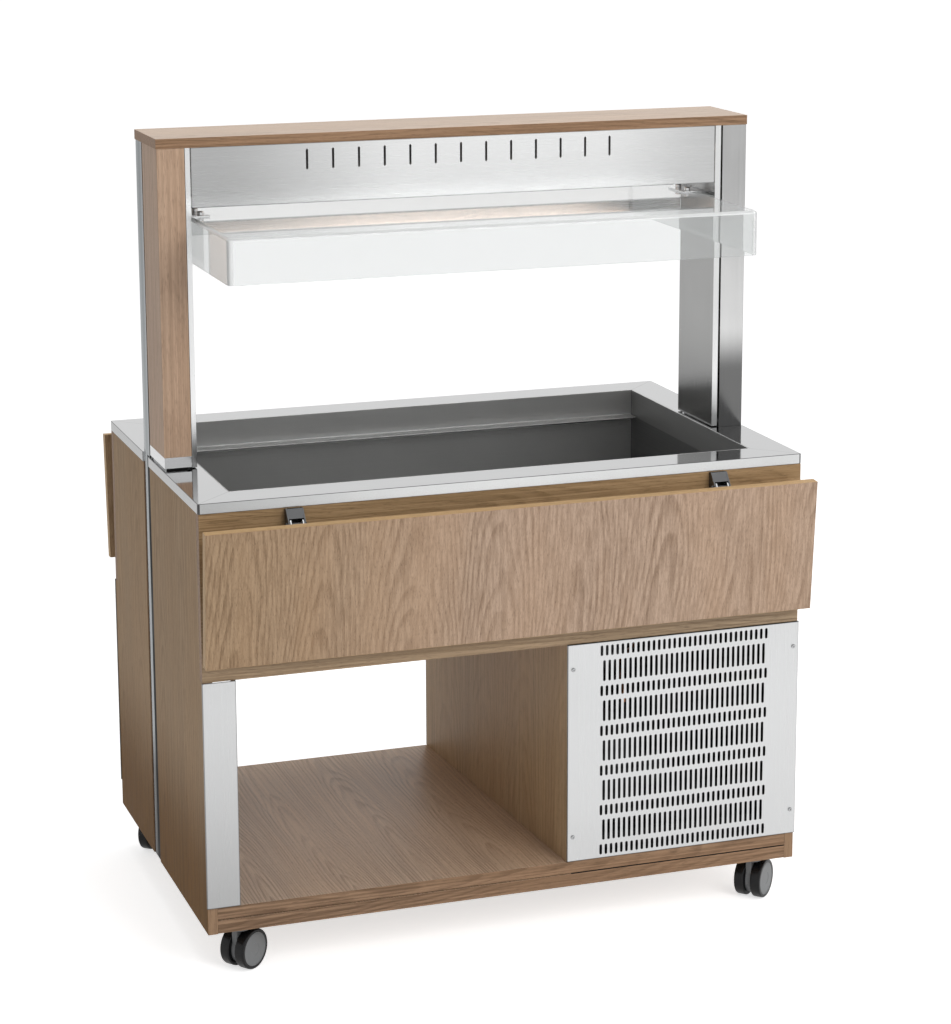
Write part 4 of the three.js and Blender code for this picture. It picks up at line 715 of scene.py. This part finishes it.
# Painted shade on the grilles: a fine dark line inside their edges.
grille_steel = {
    node: sheet_steel(
        node + "_steel", (0.582, 0.587, 0.59), 0.3, GRAIN_UP,
        contrast=0.035, relief=PLATE_RELIEF, painted_shades=outline_painted_shades(node),
    )
    for node in ("grille_front", "grille_rear")
}
# Lit and shaded copies of one steel for the well: lighter on the rim and ledges, darker on the walls below,
# and darker still on the end walls, which also get painted shade under the ledge and into the corners.
well_rim_steel = sheet_steel("well_rim_steel", (0.66, 0.66, 0.655), 0.5, GRAIN_ALONG_X, contrast=0.06)
well_ledge_steel = sheet_steel("well_ledge_steel", (0.70, 0.70, 0.69), 0.3, GRAIN_ALONG_X, contrast=0.05)
well_steel = sheet_steel("well_steel", (0.43, 0.43, 0.425), 0.5, GRAIN_ALONG_X, contrast=0.06)
well_end_steel = sheet_steel(
    "well_end_steel", (0.29, 0.29, 0.288), 0.45, GRAIN_ALONG_Y, contrast=0.06, painted_shades=(
        painted_shade(ALONG_Z, LEDGE_TOP - LEDGE_LIP, LEDGE_TOP - MM, 0.62),
        painted_shade(ALONG_Y, WELL_SIDE - 0.5 * MM, WELL_SIDE - 4 * MM, 0.35),
        painted_shade(ALONG_Y, 0.5 * MM - WELL_SIDE, 4 * MM - WELL_SIDE, 0.35),
    ),
)


# ---------------------------------------------------------------- other finishes


bright_zinc = plain("bright_zinc", (0.72, 0.725, 0.73), 0.18, metal=1.0, grain=1200.0)
screw_zinc = plain("screw_zinc", (0.42, 0.425, 0.43), 0.2, metal=1.0, grain=1200.0)
# Near-black painted shade for the walls of slots and gaps, where little light reaches.
recess_shade = plain("recess_shade", (0.012, 0.012, 0.012), 0.6, grain=1500.0, shine=0.1)
# Near-black painted shade for the faces inside the machine space.
machine_space_shade = plain("machine_space_shade", (0.02, 0.02, 0.021), 0.6, shine=0.2)
black_coat = plain("black_coat", (0.018, 0.0185, 0.02), 0.2, grain=1400.0, shine=1.0)
hinge_face = plain("hinge_face", (0.075, 0.077, 0.08), 0.22, grain=1400.0, contrast=0.2, shine=1.0)
black_enamel = plain("black_enamel", (0.02, 0.02, 0.022), 0.4, grain=700.0, relief=0.04 * MM, shine=0.4)
fin_aluminium = plain("fin_aluminium", (0.45, 0.46, 0.47), 0.45, metal=1.0, grain=600.0)
copper_pipe = plain("copper_pipe", (0.62, 0.30, 0.17), 0.28, metal=1.0, grain=500.0)
white_enamel = plain("white_enamel", (0.55, 0.545, 0.535), 0.3, grain=800.0)
hub_nylon = plain(
    "hub_nylon", (0.20, 0.207, 0.212), 0.4, grain=1500.0, relief=0.03 * MM, contrast=0.08, shine=0.4
)
tyre_black = plain("tyre_black", (0.006, 0.006, 0.0065), 0.28, grain=1300.0, shine=0.25)
fork_nylon = plain(
    "fork_nylon", (0.17, 0.175, 0.18), 0.4, grain=1500.0, relief=0.03 * MM, contrast=0.08, shine=0.4
)
clear_acrylic = acrylic("clear_acrylic", (0.855, 0.868, 0.866), clear=0.9)
# A whiter, less clear acrylic for the hood's rounded edges and lower rim: a painted highlight.
acrylic_edge_highlight = acrylic("acrylic_edge_highlight", (0.94, 0.95, 0.95), clear=0.45)
lamp_glow = make_lamp_glow()


# ---------------------------------------------------------------- dressing


def dress(piece, *looks):
    piece.data.materials.clear()
    for look in looks:
        piece.data.materials.append(look)
    return piece


def dress_faces(piece, looks, choose):
    """Gives each face the look whose number in looks is what choose(face) returns."""
    dress(piece, *looks)
    for polygon in piece.data.polygons:
        polygon.material_index = choose(polygon)
    return piece


BODY_OF = {
    node: body for body, members in frame["record"]["behaviour"]["bodies"].items() for node in members
}


def ride_for(piece, node):
    """The piece stands for a CAD node and moves with it."""
    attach(piece, BODY_OF[node])
    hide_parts(node)
    return piece


# ---------------------------------------------------------------- boards


BOARD_EASE = 0.6 * MM
MACHINE_SHADE_START = 120 * MM


def eased_board(node):
    return ease_edges(copy_node(node), BOARD_EASE)


def make_board(node, face_look, edge_look, thin_axis):
    """The two broad faces of a board take one look and all its edges the other."""
    board = dress_faces(
        eased_board(node), (face_look, edge_look),
        lambda face: 0 if abs(face.normal[thin_axis]) > FLAT else 1,
    )
    ride_for(board, node)


def make_left_side():
    for place in ("front", "rear"):
        make_board("side_panel_left_" + place, oak_side, oak_edge_up, ALONG_X)


def make_aprons():
    for place in ("front", "rear"):
        make_board("apron_" + place, oak_apron, oak_edge, ALONG_Y)


def make_board_shaded_inward(node, face_look, inward):
    """A board beside the machine unit, whose face towards the unit is painted near black for the shade in
    the machine space.
    """

    def choose(face):
        if face.normal.x * inward > FLAT:
            return 2
        return 0 if abs(face.normal.x) > FLAT else 1

    ride_for(dress_faces(eased_board(node), (face_look, oak_edge_up, machine_space_shade), choose), node)


def make_right_side():
    for place in ("front", "rear"):
        make_board_shaded_inward("side_panel_right_" + place, oak_side, -1)


def make_base():
    """The glued base boards, painted near black where they carry the machine unit, for the shade in the
    machine space.
    """
    base = split(eased_board("base_board"), (MACHINE_SHADE_START, 0, 0), (1, 0, 0))

    def choose(face):
        if abs(face.normal.z) < FLAT:
            return 1
        return 2 if face.normal.z > 0 and face.center.x > MACHINE_SHADE_START else 0

    ride_for(dress_faces(base, (oak_floor, oak_edge, machine_space_shade), choose), "base_board")


def make_post_casings():
    for side in ("left", "right"):
        ride_for(dress(eased_board("post_casing_" + side), oak_post), "post_casing_" + side)


def make_leaves():
    for place in ("front", "rear"):
        make_board("leaf_" + place, oak_leaf, oak_leaf_edge, ALONG_Y)


def make_boards():
    make_left_side()
    make_aprons()
    make_board("deck_board", oak_floor, oak_edge, ALONG_Z)
    make_board("top_board", oak_top, oak_edge, ALONG_Z)
    make_board_shaded_inward("partition", oak_partition, 1)
    make_right_side()
    make_base()
    make_post_casings()
    make_leaves()


# ---------------------------------------------------------------- worktop, well and posts


SHEET_EASE = 0.5 * MM
RIM_EASE = 0.8 * MM
SHOE_TOP = 905 * MM
SHOE_GAP = 4 * MM
GAP_SHADE_BACK = 45 * MM
TUBE_HALF = 23.5 * MM
FLANGE = 3 * MM
FLANGE_DRAW = 2.2 * MM


def make_worktop():
    """The polished rim, with its folded edge satin and a fine dark line of painted shade along the rounded
    fold.
    """
    rim = ease_edges(copy_node("worktop"), RIM_EASE)
    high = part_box("worktop")[1]
    top, edge, fold_shade = range(3)

    def choose(face):
        outside = abs(face.center.x) > high.x - MM or abs(face.center.y) > high.y - MM
        if not outside or face.normal.z > 0.95:
            return top
        upright = abs(face.normal.z) < 0.1
        square = max(abs(face.normal.x), abs(face.normal.y)) > 0.99
        return edge if upright and square else fold_shade

    ride_for(dress_faces(rim, (worktop_steel, worktop_edge_steel, fold_shade_steel), choose), "worktop")


def make_well():
    """The tub in lit and shaded copies of its steel: a lighter upper rim, lighter ledges for the pans with
    a painted highlight on each lip, and the walls below them painted darker as shade.
    """
    tub = ease_edges(copy_node("well_tub"), SHEET_EASE)
    rim, ledge, wall, end, lip = range(5)

    def choose(face):
        if LEDGE_TOP - LEDGE_LIP < face.center.z < LEDGE_TOP + MM:
            return lip if abs(face.normal.z) < FLAT else ledge
        if abs(face.normal.x) > 0.7:
            return end
        return rim if face.center.z > LEDGE_TOP else wall

    # The lips take the bright shoe steel: a painted highlight along the ledges' front edge.
    looks = (well_rim_steel, well_ledge_steel, well_steel, well_end_steel, shoe_steel)
    ride_for(dress_faces(tub, looks, choose), "well_tub")


def make_upright(side):
    """A steel tube with its bright shoe, and the strip seen between the side panels, with near-black
    painted shade in the gap in front of the strip and under the shoe.
    """
    node = "upright_" + side
    low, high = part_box(node)
    middle = high.y - TUBE_HALF if side == "left" else low.y + TUBE_HALF
    post = ease_edges(copy_node(node), SHEET_EASE)
    split(post, (0, GAP_SHADE_BACK, 0), (0, 1, 0))
    split(post, (0, 0, WORKTOP_TOP), (0, 0, 1))
    tube, shoe, strip, gap_shade = range(4)

    # Near-black painted shade on the strip's front part, in the gap beside the side panel, and on the foot
    # below the shoe.
    def choose(face):
        in_shoe = WORKTOP_TOP - MM < face.center.z < SHOE_TOP
        if in_shoe and abs(face.center.y - middle) > TUBE_HALF - MM:
            return gap_shade if face.center.z < WORKTOP_TOP + SHOE_GAP - MM else shoe
        if side == "left" and face.normal.x < -FLAT:
            return gap_shade if face.center.y < GAP_SHADE_BACK and face.center.z < WORKTOP_TOP else strip
        return tube

    ride_for(dress_faces(post, (upright_steel, shoe_steel, strip_steel, recess_shade), choose), node)


def close_gaps(cover, side):
    """Draws out the flange beside the tube and the foot, so that only fine gaps are left there."""
    low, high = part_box("post_cover_" + side)
    sign = 1 if side == "right" else -1
    reach = high.x if side == "right" else -low.x
    for vertex in cover.data.vertices:
        beside_tube = vertex.co.y < low.y + FLANGE if side == "right" else vertex.co.y > high.y - FLANGE
        if beside_tube and vertex.co.x * sign > reach - MM:
            vertex.co.x += sign * FLANGE_DRAW
        if vertex.co.z < low.z + MM:
            vertex.co.z -= FLANGE_DRAW


def make_post_cover(side):
    """The channel that covers a post's inner side, with its flanges painted brighter than its web for the
    light they catch.
    """
    node = "post_cover_" + side
    cover = copy_node(node)
    close_gaps(cover, side)
    ease_edges(cover, SHEET_EASE)
    looks = (cover_web_steel, cover_flange_steel)
    ride_for(dress_faces(cover, looks, lambda face: 1 if abs(face.normal.y) > 0.5 else 0), node)


def make_posts():
    for side in ("left", "right"):
        make_upright(side)
        make_post_cover(side)


# ---------------------------------------------------------------- hinges, plates and machine unit


LEAF_CORNERS = ("front_left", "front_right", "rear_left", "rear_right")


def make_hinge_housings():
    """Black housings whose sloped faces catch the light."""
    for place in LEAF_CORNERS:
        node = "hinge_housing_" + place
        housing = dress_faces(
            ease_edges(copy_node(node), SHEET_EASE), (black_coat, hinge_face),
            lambda face: 1 if abs(face.normal.x) < 0.3 and face.normal.z > 0.25 else 0,
        )
        ride_for(housing, node)


def dress_eased(look, *members):
    """Copies of CAD nodes with their edges eased, all in one look."""
    for node in members:
        ride_for(dress(ease_edges(copy_node(node), SHEET_EASE), look), node)


def dress_smooth(look, *members):
    """Copies of CAD nodes with many round or thin parts, which keep their edges as they are."""
    for node in members:
        ride_for(dress(smooth(copy_node(node)), look), node)


def make_sheet_parts():
    dress_eased(fascia_steel, "fascia_front", "fascia_rear")
    dress_eased(plate_steel, "corner_plate_front", "corner_plate_rear")
    dress_eased(bright_zinc, "guard_bracket_left", "guard_bracket_right")
    dress_eased(white_enamel, "lamp_tray")


def make_machine_unit():
    dress_smooth(fin_aluminium, "condenser", "fan_blades")
    dress_smooth(copper_pipe, "refrigerant_lines")


# ---------------------------------------------------------------- slotted grilles


SLOT_WIDTH = 5.6 * MM
SLOT_PITCH = 10.35 * MM
ROW_PITCH = 38.6 * MM
SHORT_SLOT = 20 * MM
TALL_SLOT = 40 * MM
SLOT_COLUMNS = 33
SLOT_ROWS = 11
SLOT_SIDES = 12
PLUG_DEPTH = 6 * MM
PLATE_SHEET = 1 * MM
PLATE_FOLD = 1.6 * MM


def slot_cutter(name, height, y):
    """A stadium-shaped plug through the plate: a round bar cut in two and drawn apart."""
    plug = new_round(name, SLOT_WIDTH / 2, PLUG_DEPTH, SLOT_SIDES, (0, y, 0), TURN_TO_Y)
    for vertex in plug.data.vertices:
        vertex.co.z += math.copysign((height - SLOT_WIDTH) / 2, vertex.co.z)
    return plug


def cut_slots(plate, middle_x, middle_z, y):
    """Rows of short slots alternate with rows of tall ones, set half a pitch aside."""
    plugs = []
    short = slot_cutter("short_slot", SHORT_SLOT, y)
    tall = slot_cutter("tall_slot", TALL_SLOT, y)
    for row in range(SLOT_ROWS):
        odd = row % 2
        columns = SLOT_COLUMNS - odd
        z = middle_z + ((SLOT_ROWS - 1) / 2 - row) * ROW_PITCH
        for column in range(columns):
            x = middle_x + (column - (columns - 1) / 2) * SLOT_PITCH
            plug = copy_of(tall if odd else short, "slot")
            plugs.append(move_mesh(plug, Matrix.Translation((x, 0, z))))
    for pattern in (short, tall):
        bpy.data.objects.remove(pattern)
    return cut_away(plate, joined(plugs, "slots"))


def make_grille(node, front):
    """A folded tray plate with rounded front folds and rows of round-ended slots."""
    low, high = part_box(node)
    plate = new_block("skin_" + node, low, high)
    back = (0, 1, 0) if front else (0, -1, 0)
    edge_y = low.y if front else high.y
    pick(plate, edges=lambda e: all(abs(v.co.y - edge_y) < TOUCH for v in e.verts))
    bpy.ops.mesh.bevel(offset=PLATE_FOLD, segments=4)
    done(plate)
    pick(plate, faces=facing(back))
    bpy.ops.mesh.delete(type="FACE")
    done(plate)
    apply_modifier(plate, "SOLIDIFY", thickness=PLATE_SHEET, offset=-1, use_even_offset=True)
    middle = (low + high) / 2
    cut_slots(plate, middle.x, middle.z, edge_y)
    smooth(plate, 40)
    reach_x = SLOT_COLUMNS * SLOT_PITCH / 2
    reach_z = SLOT_ROWS * ROW_PITCH / 2

    # The slot walls take the near-black painted shade.
    def choose(face):
        in_field = abs(face.center.x - middle.x) < reach_x and abs(face.center.z - middle.z) < reach_z
        return 1 if in_field and abs(face.normal.y) < 0.7 else 0

    return ride_for(dress_faces(plate, (grille_steel[node], recess_shade), choose), node)


SCREW_RADIUS = 4 * MM
SCREW_DOME = 2.4 * MM
SCREW_ROUND = 1.6 * MM
SCREW_INSET = 11 * MM
SCREW_RISE = 162 * MM
RECESS_REACH = 1.9 * MM
RECESS_HALF = 0.45 * MM
RECESS_FLOOR = 1.2 * MM
RECESS_PAST = 4 * MM


def plate_screw(name):
    """A domed screw head with a cross recess, facing -Y, at the origin."""
    head = new_round(name, SCREW_RADIUS, SCREW_DOME, 20, (0, -SCREW_DOME / 2, 0), TURN_TO_Y)
    rim = -SCREW_DOME + MM / 20
    pick(head, edges=lambda e: all(v.co.y < rim for v in e.verts))
    bpy.ops.mesh.bevel(offset=SCREW_ROUND, segments=4, profile=0.6)
    done(head)
    for x, z in ((RECESS_REACH, RECESS_HALF), (RECESS_HALF, RECESS_REACH)):
        cut_away(head, new_block("recess", (-x, -RECESS_PAST, -z), (x, -RECESS_FLOOR, z)))
    return dress(smooth(head), screw_zinc)


def make_grille_screws():
    """Four screws in each grille, between the folded edge and the slots."""
    pattern = plate_screw("screw_pattern")
    count = 0
    for node, turn in (("grille_front", 0.0), ("grille_rear", math.pi)):
        low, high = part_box(node)
        face = low.y if turn == 0.0 else high.y
        middle = (low.z + high.z) / 2
        for x in (low.x + SCREW_INSET, high.x - SCREW_INSET):
            for rise in (-SCREW_RISE, SCREW_RISE):
                count += 1
                screw = copy_of(pattern, f"plate_screw_{count}")
                place = Matrix.Translation((x, face, middle + rise)) @ Matrix.Rotation(turn, 4, "Z")
                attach(move_mesh(screw, place), "cabinet")
    bpy.data.objects.remove(pattern)


# ---------------------------------------------------------------- clear hood


HOOD_CORNER = 10 * MM
HOOD_EDGE = 6 * MM
HOOD_WALL = 5 * MM


def make_hood():
    """One clear moulding, open below, with round corners and a round upper edge."""
    low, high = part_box("guard_hood")
    hood = new_block("clear_hood", low, high)
    pick(hood, edges=lambda e: abs(e.verts[0].co.z - e.verts[1].co.z) > HOOD_CORNER)
    bpy.ops.mesh.bevel(offset=HOOD_CORNER, segments=8)
    done(hood)
    pick(hood, edges=lambda e: all(abs(v.co.z - high.z) < TOUCH for v in e.verts))
    bpy.ops.mesh.bevel(offset=HOOD_EDGE, segments=5)
    done(hood)
    pick(hood, faces=facing((0, 0, -1)))
    bpy.ops.mesh.delete(type="FACE")
    done(hood)
    apply_modifier(hood, "SOLIDIFY", thickness=HOOD_WALL, offset=-1, use_even_offset=True)
    smooth(hood, 35)

    # Flat faces stay clear; the rounded edges and the lower rim take the painted highlight.
    def choose(face):
        flat = max(abs(part) for part in face.normal) > 0.999
        return 0 if flat and face.center.z > low.z + MM else 1

    return ride_for(dress_faces(hood, (clear_acrylic, acrylic_edge_highlight), choose), "guard_hood")


BRACKET_SHEET = 3 * MM
THUMB_RADIUS = 6 * MM
THUMB_ROUND = 2.4 * MM
THUMB_EASE = 0.3 * MM
SHANK_RADIUS = 2.5 * MM
NUT_RADIUS = 5 * MM
NUT_HEIGHT = 4 * MM


def make_thumb_screw(node, head_foot):
    """A round-headed screw over its bracket, with a nut under the hood."""
    low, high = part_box(node)
    x, y = (low.x + high.x) / 2, (low.y + high.y) / 2
    head = new_round("head", THUMB_RADIUS, high.z - head_foot, 32, (x, y, (head_foot + high.z) / 2))
    pick(head, edges=lambda e: all(v.co.z > high.z - TOUCH for v in e.verts))
    bpy.ops.mesh.bevel(offset=THUMB_ROUND, segments=5)
    done(head)
    shank = new_round("shank", SHANK_RADIUS, head_foot - low.z, 16, (x, y, (head_foot + low.z) / 2))
    nut = new_round("nut", NUT_RADIUS, NUT_HEIGHT, 6, (x, y, low.z + NUT_HEIGHT / 2))
    for part in (head, shank, nut):
        ease_edges(part, THUMB_EASE)
    ride_for(dress(joined([head, shank, nut], "skin_" + node), bright_zinc), node)


def make_thumb_screws():
    bracket_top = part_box("guard_bracket_left")[0].z + BRACKET_SHEET
    for index in range(1, 5):
        make_thumb_screw(f"thumb_screw_{index}", bracket_top)


# ---------------------------------------------------------------- casters


PLACES = ("front_left", "front_right", "rear_right", "rear_left")
WHEEL_RADIUS = 37.5 * MM
WHEEL_WIDTH = 20 * MM
WHEEL_GAP = 13 * MM
WHEEL_FIT = 0.6 * MM
TYRE_SHOULDER = 3.2 * MM
HUB_RADIUS = 31 * MM
HUB_DEPTH = 3 * MM
DISC_AREA = 1e-4
OUTER_STEPS = ((3.3, -0.1), (0.25, -0.9), (1.6, 0.0), (0.5, 0.45), (17.0, 0.25), (0.6, -0.5), (2.4, 0.0))
INNER_STEPS = ((4.5, 0.0), (0.4, -1.6))

CASTER_TRAIL = 12 * MM
FIN_RADIUS = 30 * MM
NECK_HALF = 15 * MM
NECK_TOP = 78 * MM
BODY_EASE = 1.2 * MM
HEAD_RADIUS = 21 * MM
HEAD_HEIGHT = 10.7 * MM
HEAD_MIDDLE = 81.85 * MM
HEAD_EASE = 2.2 * MM
STEM_RADIUS = 5.5 * MM
STEM_FOOT = 85 * MM
STEM_EASE = 1.5 * MM
AXLE_RADIUS = 4 * MM
AXLE_SHORT = 5 * MM


def turn_disc(wheel, outward, steps):
    """Turns one side of a wheel; each step is its breadth and its rise, in millimetres."""
    pick(wheel, faces=lambda f: f.normal.x * outward > 0.95 and f.calc_area() > DISC_AREA)
    for breadth, rise in steps:
        bpy.ops.mesh.inset(thickness=breadth * MM, depth=rise * MM)
    done(wheel)


def wheel_pattern():
    """A tyre with round shoulders on a stepped hub disc; the axle is X and the outer face is +X."""
    wheel = new_round("wheel_pattern", WHEEL_RADIUS, WHEEL_WIDTH, 64, (0, 0, 0), TURN_TO_X)
    pick(wheel, edges=lambda e: abs(e.verts[0].co.x - e.verts[1].co.x) < TOUCH)
    bpy.ops.mesh.bevel(offset=TYRE_SHOULDER, segments=4)
    done(wheel)
    turn_disc(wheel, 1, OUTER_STEPS)
    turn_disc(wheel, -1, INNER_STEPS)

    def choose(face):
        in_hub = math.hypot(face.center.y, face.center.z) < HUB_RADIUS
        return 1 if in_hub and abs(face.center.x) > WHEEL_WIDTH / 2 - HUB_DEPTH else 0

    return smooth(dress_faces(wheel, (tyre_black, hub_nylon), choose), 35)


def caster_body_pattern(node):
    """The swivelling body in its own frame: stem foot at the origin, axle along X, wheels to +Y."""
    half = WHEEL_GAP / 2 - WHEEL_FIT
    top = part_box(node)[1].z
    hub = (0, CASTER_TRAIL, WHEEL_RADIUS)
    fin = ease_edges(new_round("fin", FIN_RADIUS, 2 * half, 48, hub, TURN_TO_X), BODY_EASE, 3)
    neck = new_block("neck", (-half, -NECK_HALF, WHEEL_RADIUS), (half, NECK_HALF, NECK_TOP))
    ease_edges(neck, BODY_EASE, 3)
    head = new_round("head", HEAD_RADIUS, HEAD_HEIGHT, 40, (0, 0, HEAD_MIDDLE))
    ease_edges(head, HEAD_EASE, 4)
    stem = new_round("stem", STEM_RADIUS, top - STEM_FOOT, 24, (0, 0, (STEM_FOOT + top) / 2))
    ease_edges(stem, STEM_EASE, 2)
    reach = WHEEL_GAP / 2 + WHEEL_WIDTH - AXLE_SHORT
    axle = new_round("axle", AXLE_RADIUS, 2 * reach, 20, hub, TURN_TO_X)
    body = joined([fin, neck, head, stem, axle], "caster_pattern")
    return dress(smooth(body, 35), fork_nylon)


JOINTS = {joint["name"]: joint for joint in frame["joints"]}


def caster_stand(place):
    """Where a caster stands and which way it heads, from its swivel and the axle of its wheels."""
    x, y, _ = JOINTS["swivel_" + place]["pos_m"]
    along, across, _ = JOINTS[f"spin_{place}_a"]["axis"]
    return Matrix.Translation((x, y, 0)) @ Matrix.Rotation(math.atan2(across, along), 4, "Z")


def make_casters():
    """One wheel and one body are modelled, and copied to the four corners of the base."""
    wheel = wheel_pattern()
    body = caster_body_pattern("caster_body_front_left")
    offset = (WHEEL_GAP + WHEEL_WIDTH) / 2
    for place in PLACES:
        stand = caster_stand(place)
        fork = move_mesh(copy_of(body, "caster_fork_" + place), stand)
        ride_for(fork, "caster_body_" + place)
        for letter, side in (("a", 1), ("b", -1)):
            node = f"wheel_{place}_{letter}"
            spot = Matrix.Translation((side * offset, CASTER_TRAIL, WHEEL_RADIUS))
            flip = Matrix.Rotation(0.0 if side > 0 else math.pi, 4, "Z")
            ride_for(move_mesh(copy_of(wheel, "skin_" + node), stand @ spot @ flip), node)
    for pattern in (wheel, body):
        bpy.data.objects.remove(pattern)


# ---------------------------------------------------------------- studio


CAMERA_PLACE = (-1.6537, -4.9454, 2.0478)
CAMERA_TURN = (78.125, 0.183, -19.146)
CAMERA_LENS = 98.188
CAMERA_RISE = -0.1094


def make_camera():
    data = bpy.data.cameras.new("photo_view")
    data.lens = CAMERA_LENS
    data.sensor_width = 36
    data.sensor_fit = "AUTO"
    data.shift_y = CAMERA_RISE
    data.clip_end = 100
    camera = bpy.data.objects.new("photo_view", data)
    camera.location = CAMERA_PLACE
    camera.rotation_euler = [math.radians(a) for a in CAMERA_TURN]
    bpy.context.scene.collection.objects.link(camera)
    bpy.context.scene.camera = camera


FLOOR_SIZE = 60
FLOOR_LIFT_SEEN = 0.64
FLOOR_LIFT_MIRRORED = 0.4
WORLD_LIGHT = 0.45


def seen_and_mirrored(tree):
    """Masks of the rays that reach the camera straight or through clear sheet, and of mirrored ones."""
    path = put(tree, "LightPath")
    through = path.outputs["Is Transmission Ray"]
    seen = math_node(tree, "MAXIMUM", path.outputs["Is Camera Ray"], through)
    mirrored = math_node(tree, "SUBTRACT", path.outputs["Is Glossy Ray"], through, clamp=True)
    return seen, mirrored


def make_floor():
    """A pale floor that reads as white around the object and keeps its soft shadow."""
    deselect()
    bpy.ops.mesh.primitive_plane_add(size=FLOOR_SIZE, location=(0, 0, 0))
    floor = settle(bpy.context.object, "floor")
    look, tree, shader = new_material("studio_floor")
    shader.inputs["Base Color"].default_value = (0.86, 0.86, 0.86, 1)
    shader.inputs["Roughness"].default_value = 0.9
    shader.inputs["Specular IOR Level"].default_value = 0.1
    shader.inputs["Emission Color"].default_value = WHITE
    seen, mirrored = seen_and_mirrored(tree)
    lift = math_node(tree, "MULTIPLY", mirrored, FLOOR_LIFT_MIRRORED)
    glow = math_node(tree, "MULTIPLY_ADD", seen, FLOOR_LIFT_SEEN, lift)
    link(tree, glow, shader.inputs["Emission Strength"])
    dress(floor, look)


def make_world():
    """White where it is seen or mirrored, and a dimmer light everywhere else."""
    world = bpy.data.worlds.new("studio")
    bpy.context.scene.world = world
    world.use_nodes = True
    tree = world.node_tree
    background = next(n for n in tree.nodes if n.type == "BACKGROUND")
    background.inputs["Color"].default_value = WHITE
    seen, mirrored = seen_and_mirrored(tree)
    level = ramp(tree, math_node(tree, "MAXIMUM", seen, mirrored), 0.0, 1.0, WORLD_LIGHT, 1.0)
    link(tree, level, background.inputs["Strength"])


def make_lamp(name, place, aim, size, power):
    """A square soft box that lights the object and isn't mirrored in its steel."""
    data = bpy.data.lights.new(name, "AREA")
    data.shape = "SQUARE"
    data.size = size
    data.energy = power
    lamp = bpy.data.objects.new(name, data)
    lamp.location = place
    lamp.visible_glossy = False
    lamp.rotation_euler = (Vector(aim) - Vector(place)).to_track_quat("-Z", "Y").to_euler()
    bpy.context.scene.collection.objects.link(lamp)


def make_studio():
    make_floor()
    make_world()
    make_lamp("key", place=(1.2, -3.9, 3.0), aim=(0, 0, 0.6), size=2.4, power=88)
    make_lamp("fill", place=(3.6, -1.6, 2.4), aim=(0, 0, 0.6), size=2.6, power=25)
    make_lamp("top", place=(0.2, 0.4, 4.2), aim=(0, 0, 0.8), size=2.6, power=50)


# ---------------------------------------------------------------- assembly


make_boards()
make_worktop()
make_well()
make_posts()
make_hinge_housings()
make_sheet_parts()
dress_eased(black_enamel, "unit_frame", "compressor")
dress_eased(bright_zinc, *("leaf_arm_" + place for place in LEAF_CORNERS))
make_machine_unit()
dress_smooth(lamp_glow, "light_tube")
make_grille("grille_front", True)
make_grille("grille_rear", False)
make_grille_screws()
make_hood()
make_thumb_screws()
make_casters()
make_studio()
make_camera()
bpy.context.scene.view_settings.view_transform = "Standard"
